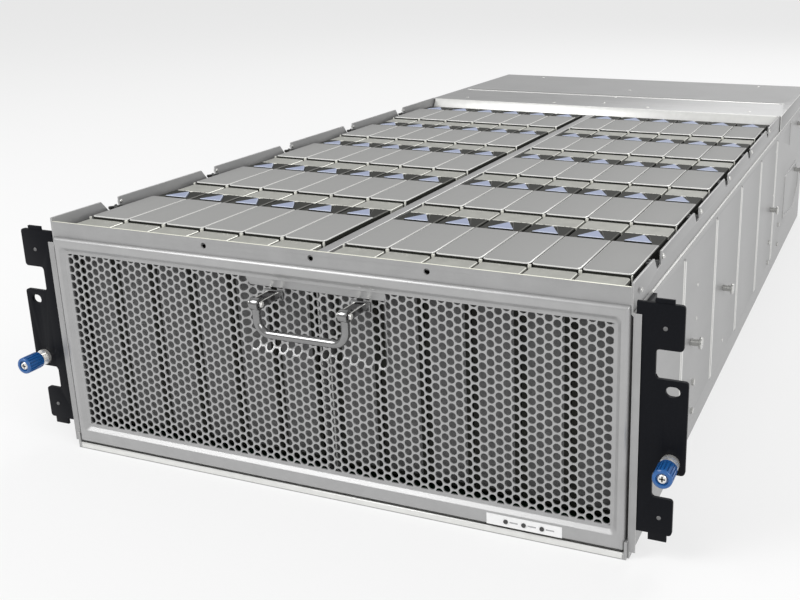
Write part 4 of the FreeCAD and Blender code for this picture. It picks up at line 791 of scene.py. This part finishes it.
def knob_piece(name, x, z, near):
    """A fluted knob with a round recess in its face."""
    knob = rod(name + "_knob", KNOB_RADIUS, x, z, near, near + KNOB_LENGTH, vertices=36)
    mode("EDIT")
    pick(knob, "EDGE", lambda one, two: abs(one.y - two.y) < 1 * MM)
    bpy.ops.mesh.bevel(offset=1.2 * MM, segments=3)
    pick(knob, "FACE", lambda place, normal: abs(normal.y) < 0.1
         and int(round(math.degrees(math.atan2(place.z - z, place.x - x)) / 10 - 0.5)) % 2 == 0)
    bpy.ops.mesh.inset(thickness=0.12 * MM, depth=-0.55 * MM, use_individual=True)
    pick(knob, "FACE", lambda place, normal: normal.y < -0.99 and abs(place.x - x) < 1 * MM
         and abs(place.z - z) < 1 * MM)
    bpy.ops.mesh.inset(thickness=0.9 * MM)
    bpy.ops.mesh.inset(thickness=0.4 * MM, depth=-1.6 * MM)
    mode("OBJECT")
    smooth(knob, 30)
    finish_piece(knob, name, "knob_blue", name)

# %% [markdown]
# The screw is three turned pieces in a line: its head in the knob's recess, a smooth collar and the
# threaded shank. A real thread is a helix; here it is suggested by rings, every other one of them drawn in.
# The cross in the head is two small dark bars, which need no boolean.

# %% Screws
THREAD_STEP = 1.0 * MM
COLLAR_LENGTH = 6 * MM


def screw_piece(name, x, z, near, far):
    """A screw with a dished head, a collar and a threaded shank, inside a knob that starts at near."""
    knob_back = near + KNOB_LENGTH
    thread_start = knob_back + COLLAR_LENGTH
    head = rod("head", 2.9 * MM, x, z, near + 0.9 * MM, near + 2.1 * MM)
    mode("EDIT")
    pick(head, "FACE", lambda place, normal: normal.y < -0.95)
    bpy.ops.mesh.inset(thickness=0.5 * MM, depth=0.5 * MM)
    mode("OBJECT")
    collar = rod("collar", 2.95 * MM, x, z, knob_back, thread_start + 0.2 * MM)
    shank = rod("shank", 2.4 * MM, x, z, thread_start, far)
    mode("EDIT")
    for turn in range(1, 14):
        cut((0, thread_start + turn * THREAD_STEP, 0), (0, 1, 0))
    pick(shank, "VERT", lambda place: round((place.y - thread_start) / THREAD_STEP) % 2 == 1
         and place.y < far - 0.5 * MM)
    bpy.ops.transform.resize(value=(0.82, 1, 0.82), center_override=(x, knob_back, z))
    mode("OBJECT")
    steel = join([head, collar, shank], name + "_screw")
    smooth(steel, 30)
    finish_piece(steel, name, "ferrule", name)


def slot_piece(name, x, z, near):
    """The cross in a screw's head, as two bars with round ends."""
    bars = []
    for half_x, half_z in ((1.8 * MM, 0.45 * MM), (0.45 * MM, 1.8 * MM)):
        bars.append(rounded_box((x - half_x, near + 0.36 * MM, z - half_z),
                                (x + half_x, near + 0.9 * MM, z + half_z),
                                0.3 * MM, 2, lambda one, two: abs(one.y - two.y) > 0.3 * MM))
    finish_piece(join(bars, name + "_slot"), name, "plug_black")


for name in ("left_thumbscrew", "right_thumbscrew"):
    screw_low, screw_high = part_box(name)
    axis_x, axis_z = (screw_low.x + screw_high.x) / 2, (screw_low.z + screw_high.z) / 2
    knob_piece(name, axis_x, axis_z, screw_low.y)
    screw_piece(name, axis_x, axis_z, screw_low.y, screw_high.y)
    slot_piece(name, axis_x, axis_z, screw_low.y)

# %% [markdown]
# ## Rivets and small pins
# Rivets hold the ears and the walls, and pins guide the lid at its notches. Each is half a flattened
# sphere, which reads as a rivet's head from any side and costs few faces.

# %% Rivets and pins
WALL_FACE = 209.9
PIN_PLACES = ((15, 167), (180, 92), (180, 118), (300, 30), (585, 92), (585, 140))
NOTCHES, NOTCH_PITCH = 5, 115


def dome(place, radius, height, direction):
    """A rivet's head: half a flattened sphere that faces along a direction."""
    bpy.ops.mesh.primitive_uv_sphere_add(segments=20, ring_count=10, radius=radius, location=(0, 0, 0))
    rivet = bpy.context.object
    mode("EDIT")
    cut((0, 0, 0), (0, 0, -1), clear_outer=True, use_fill=True)
    mode("OBJECT")
    rivet.scale = (1, 1, height / radius)
    rivet.rotation_euler = Vector(direction).to_track_quat("Z", "Y").to_euler()
    rivet.location = place
    return settle(rivet, "rivet")


def domes_piece(domes, name, finish):
    """Joins rivet heads into one piece of the chassis."""
    piece = join(domes, name)
    finish_piece(piece, "chassis", finish)
    smooth(piece, 60)


ear_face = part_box("right_rack_ear")[0].y + 0.1 * MM
domes_piece([dome((side * 227 * MM, ear_face, level * MM), 1.4 * MM, 0.8 * MM, (0, -1, 0))
             for side in (-1, 1) for level in (150, 31)], "ear_rivets", "drive_face")
pins = []
for side in (-1, 1):
    for notch in range(NOTCHES):
        place = at(side * 208.6, 70.5 + NOTCH_PITCH * notch, 170.6)
        pins.append(dome(place, 2.0 * MM, 2.6 * MM, (-side * 0.2, -0.5, 1)))
    for depth, level in PIN_PLACES:
        pins.append(dome(at(side * WALL_FACE, depth, level), 1.7 * MM, 0.7 * MM, (side, 0, 0)))
domes_piece(pins, "small_pins", "stud_steel")

# %% [markdown]
# ## The bail's brackets
# The bail hangs between two slim cheeks at each end, on a pin with a domed head. The cheeks are boxes with
# round noses, and their upper faces take the pale ferrule steel as a painted highlight where the light from
# above lands.

# %% The brackets
BAIL_X, CHEEK_GAP, CHEEK_HALF = 32 * MM, 3.9 * MM, 0.5 * MM
bracket_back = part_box("handle_brackets")[1].y
axle_y, axle_z = front - 13 * MM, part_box("front_handle")[1].z - 4 * MM
cheeks = []
for side in (-1, 1):
    for offset in (-CHEEK_GAP, CHEEK_GAP):
        middle = side * (BAIL_X + offset)
        cheek = box_piece((middle - CHEEK_HALF, axle_y - 2.3 * MM, axle_z - 2.1 * MM),
                          (middle + CHEEK_HALF, bracket_back, axle_z + 2.1 * MM))
        pick(cheek, "EDGE", lambda one, two: abs(one.x - two.x) > 0.5 * MM and one.y < axle_y)
        bpy.ops.mesh.bevel(offset=1.8 * MM, segments=4)
        # Upper faces: pale ferrule steel as a painted highlight.
        mark(cheek, 1, lambda place, normal: normal.z > 0.6)
        mode("OBJECT")
        cheeks.append(cheek)
    cheeks.append(rounded_box((side * BAIL_X - 7 * MM, bracket_back - 1.2 * MM, axle_z - 3.4 * MM),
                              (side * BAIL_X + 7 * MM, bracket_back, axle_z + 3.4 * MM), 0.4 * MM, 2))
    for direction in (-1, 1):
        place = (side * BAIL_X + direction * (CHEEK_GAP + CHEEK_HALF), axle_y, axle_z)
        cheeks.append(dome(place, 2.1 * MM, 1.0 * MM, (direction, 0, 0)))
brackets = join(cheeks, "bail_brackets")
smooth(brackets, 40)
finish_parts(brackets, "chassis", ["bright_steel", "ferrule"], "handle_brackets")

# %% [markdown]
# ## The brow of the grip hollow
# Above the hollow the sheet is left solid. A thin box closes the field there, with its lower edge pushed
# back to follow the hollow's slope.

# %% The brow
BROW_HALF = 51 * MM
brow = box_piece((-BROW_HALF, floor_level + 0.2 * MM, FIELD_HIGH - 6.5 * MM),
                 (BROW_HALF, floor_level + 1.2 * MM, FIELD_HIGH + 0.5 * MM))
pick(brow, "VERT", lambda place: place.z < FIELD_HIGH - 5 * MM)
bpy.ops.transform.translate(value=(0, 3.2 * MM, 0))
mode("OBJECT")
soften(brow, 0.4 * MM, 2, 30)
finish_piece(settle(brow, "grip_brow"), "chassis", "bezel_steel")

# %% [markdown]
# ## The beads of the walls
# Pressed beads stiffen the long walls, and their tops shine. A displaced surface would need a very fine
# wall, so each bead is a slim box with its outer edges rounded into a half circle. The beads and a thin strip
# at each wall's fold are pale all over, as a painted highlight.

# %% The beads and the fold of each wall, in painted highlight
BEAD_SHEET, BEAD_OUT, FOLD_OUT = 208.6 * MM, 211.1 * MM, 210.12 * MM
BEAD_FIRST, BEAD_LAST, BEAD_LOW, BEAD_HIGH = 128.0, 134.0, 16.8 * MM, 151.2 * MM
ridges = []
for side in (-1, 1):
    ends = sorted((side * BEAD_SHEET, side * BEAD_OUT))
    for bead in range(NOTCHES):
        ridges.append(rounded_box((ends[0], front + (BEAD_FIRST + NOTCH_PITCH * bead) * MM, BEAD_LOW),
                                  (ends[1], front + (BEAD_LAST + NOTCH_PITCH * bead) * MM, BEAD_HIGH),
                                  2.3 * MM, 5,
                                  lambda one, two: min(abs(one.x), abs(two.x)) > 211 * MM))
    ends = sorted((side * BEAD_SHEET, side * FOLD_OUT))
    ridges.append(rounded_box((ends[0], front + 42 * MM, 156.3 * MM), (ends[1], rear - 4 * MM, 157.3 * MM),
                              0.4 * MM, 2, lambda one, two: min(abs(one.x), abs(two.x)) > 210 * MM))
ridge = join(ridges, "wall_ridges")
smooth(ridge, 50)
finish_piece(ridge, "chassis", "steel_highlight")

# %% [markdown]
# ## The rear cover
# The cover's front edge slopes down into the bay, and a bead crosses it further back. Both catch the light
# in one long line, which their pale finish paints on as a highlight. The slope is a thin box with its lower
# edge pulled forwards.

# %% The cover's lip and bead
LIP_SPAN, CREASE_HALF, CREASE_NEAR, CREASE_FAR = 206 * MM, 197 * MM, 696 * MM, 702 * MM
lip = box_piece((-LIP_SPAN, cover_low.y - 1.2 * MM, cover_high.z - 10.2 * MM),
                (LIP_SPAN, cover_low.y + 0.2 * MM, cover_high.z - 1.2 * MM))
pick(lip, "VERT", lambda place: place.z < cover_high.z - 8 * MM)
bpy.ops.transform.translate(value=(0, -5.5 * MM, 0))
bpy.ops.mesh.select_all(action="SELECT")
bpy.ops.mesh.bevel(offset=0.45 * MM, segments=2)
mode("OBJECT")
crease = rounded_box((-CREASE_HALF, front + CREASE_NEAR, cover_high.z - 2 * MM),
                     (CREASE_HALF, front + CREASE_FAR, cover_high.z), 1.9 * MM, 5,
                     lambda one, two: min(one.z, two.z) > cover_high.z - 0.1 * MM)
trim = join([lip, crease], "cover_trim")
smooth(trim, 50)
finish_piece(trim, "chassis", "steel_highlight")

# %% [markdown]
# Screws hold the cover down, in mirrored pairs and along its middle. Each is a rivet's head from above.

# %% The cover's screws
SCREW_PLACES = ((-172, 631), (-57, 625), (57, 625), (172, 631), (0, 642), (0, 691), (0, 758), (-150, 845),
                (150, 845))
screw_seat = Vector((0, 0, cover_high.z - 0.9 * MM))
domes_piece([dome(at(x, depth, 0) + screw_seat, 2.2 * MM, 0.8 * MM, (0, 0, 1)) for x, depth in SCREW_PLACES],
            "cover_screws", "stud_steel")

# %% [markdown]
# ## Marks beside the status lights
# On the real strip a small print names each light. This shelf carries no words, so a plain grey dash stands
# in for each.

# %% Printed marks
strip_low, strip_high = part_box("status_strip")
strip_x, strip_z = (strip_low.x + strip_high.x) / 2, (strip_low.z + strip_high.z) / 2
LIGHT_PITCH, MARK_START, MARK_LENGTH, MARK_HALF = 12 * MM, 2.6 * MM, 5.4 * MM, 0.45 * MM
marks = []
for light in (-1, 0, 1):
    x = strip_x + light * LIGHT_PITCH + MARK_START
    marks.append(rounded_box((x, strip_low.y - 0.08 * MM, strip_z - MARK_HALF),
                             (x + MARK_LENGTH, strip_low.y + 0.1 * MM, strip_z + MARK_HALF), 0.2 * MM, 2,
                             lambda one, two: abs(one.y - two.y) > 0.1 * MM))
finish_piece(join(marks, "strip_marks"), "chassis", "mark_grey")

# %% [markdown]
# ## Painted shade in the notches
# Each notch in the walls gets its shade painted on. From above the shade is a small dark V, so two short
# dark bars are turned against each other.

# %% Painted shade in the notches
notch_shades = []
for side in (-1, 1):
    for notch in range(NOTCHES):
        for turn in (40, -35):
            # Each dark bar is painted shade in the wall's notch.
            shade_bar = rounded_box((-1.1 * MM, -5.2 * MM, -1.2 * MM), (1.1 * MM, 5.2 * MM, 1.2 * MM), 0.5 * MM, 1)
            shade_bar.rotation_euler = (0, 0, math.radians(turn))
            shade_bar.location = at(side * 204.6, 61 + NOTCH_PITCH * notch, 168.8)
            notch_shades.append(settle(shade_bar, "shade_bar"))
finish_piece(join(notch_shades, "notch_shade_bars"), "chassis", "plug_black")

# %% [markdown]
# ## Nodes that keep their CAD shape
# The pieces inside the shelf and at its rear are plain, and the frame already has their shape. They could
# be copied like the sheet metal, but their edges are hardly seen, so they only get a finish.

# %% The remaining nodes
FANS = range(1, 5)
PLAIN = {
    "plated_steel": ["cross_beams", "bulkhead", "rear_panel", "rear_shelf"],
    "board_green": ["backplane_board"],
    "plug_black": ["drive_connectors"],
    "drive_case": ["disk_drive"],
    "stud_steel": ["machine_screws"],
    "ferrule": ["thumbscrew_ferrules"],
    "strip_white": ["status_strip"],
    "light_dark": ["status_lights"],
    "module_steel": ["io_module_lower", "io_module_upper"] + ["fan_module_%d" % number for number in FANS],
    "rotor_black": ["fan_rotor_%d" % number for number in FANS],
    "pull_black": ["io_lever_lower", "io_lever_upper", "power_supply_handle_left",
                   "power_supply_handle_right"],
}
for finish, nodes in PLAIN.items():
    for node in nodes:
        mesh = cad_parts[node].data
        mesh.materials.clear()
        mesh.materials.append(MATERIALS[finish])
print(sum(len(nodes) for nodes in PLAIN.values()), "plain nodes")

# %% [markdown]
# ## Studio: the floor
# A floor of plain white paint comes out grey where the lamps don't reach, so the paint is mixed with a
# little light of its own, which still lets the shelf's shadow show.

# %% Floor
bpy.ops.mesh.primitive_plane_add(size=12, location=(0, 0, 0))
floor = bpy.context.object
floor.name = "floor"
paint = bpy.data.materials.new("floor_paint")
paint.use_nodes = True
floor.data.materials.append(paint)
nodes, links = paint.node_tree.nodes, paint.node_tree.links
paper = nodes["Principled BSDF"]
set_inputs(paper, Base_Color=(0.8, 0.8, 0.8, 1), Roughness=1.0, Specular_IOR_Level=0.0)
glow = nodes.new("ShaderNodeEmission")
set_inputs(glow, Color=(1, 1, 1, 1))
blend = nodes.new("ShaderNodeMixShader")
set_inputs(blend, Fac=0.62)
links.new(paper.outputs["BSDF"], blend.inputs[1])
links.new(glow.outputs["Emission"], blend.inputs[2])
links.new(blend.outputs["Shader"], nodes["Material Output"].inputs["Surface"])
print("floor", tuple(floor.dimensions))

# %% [markdown]
# ## Studio: the room and its lamps
# The room is fully white to the camera, but it lights the shelf with less than that, so that three large
# soft lamps can still model its shape: a key from the left front, a fill from the right and a back lamp
# that draws the bright edges.

# %% World and lamps
world = bpy.data.worlds.new("studio")
bpy.context.scene.world = world
world.use_nodes = True
nodes, links = world.node_tree.nodes, world.node_tree.links
room = nodes["Background"]
seen = nodes.new("ShaderNodeBackground")
for shade, strength in ((room, 0.6), (seen, 1.0)):
    set_inputs(shade, Color=(1, 1, 1, 1), Strength=strength)
path = nodes.new("ShaderNodeLightPath")
mix = nodes.new("ShaderNodeMixShader")
links.new(path.outputs["Is Camera Ray"], mix.inputs["Fac"])
links.new(room.outputs["Background"], mix.inputs[1])
links.new(seen.outputs["Background"], mix.inputs[2])
links.new(mix.outputs["Shader"], nodes["World Output"].inputs["Surface"])
AIM = Vector((0, 0, 0.1))


def lamp(name, place, energy, size):
    """A square area lamp aimed at the shelf."""
    data = bpy.data.lights.new(name, "AREA")
    data.energy = energy
    data.size = size
    light = bpy.data.objects.new(name, data)
    bpy.context.scene.collection.objects.link(light)
    light.location = place
    light.rotation_euler = (AIM - Vector(place)).to_track_quat("-Z", "Y").to_euler()


lamp("key", (-1.2, -1.6, 1.8), 30, 1.2)
lamp("fill", (1.8, -1.2, 1.2), 18, 1.4)
lamp("back", (0.3, 2.0, 2.0), 22, 1.4)
bpy.context.scene.view_settings.view_transform = "Standard"
print(len(bpy.data.lights), "lamps")
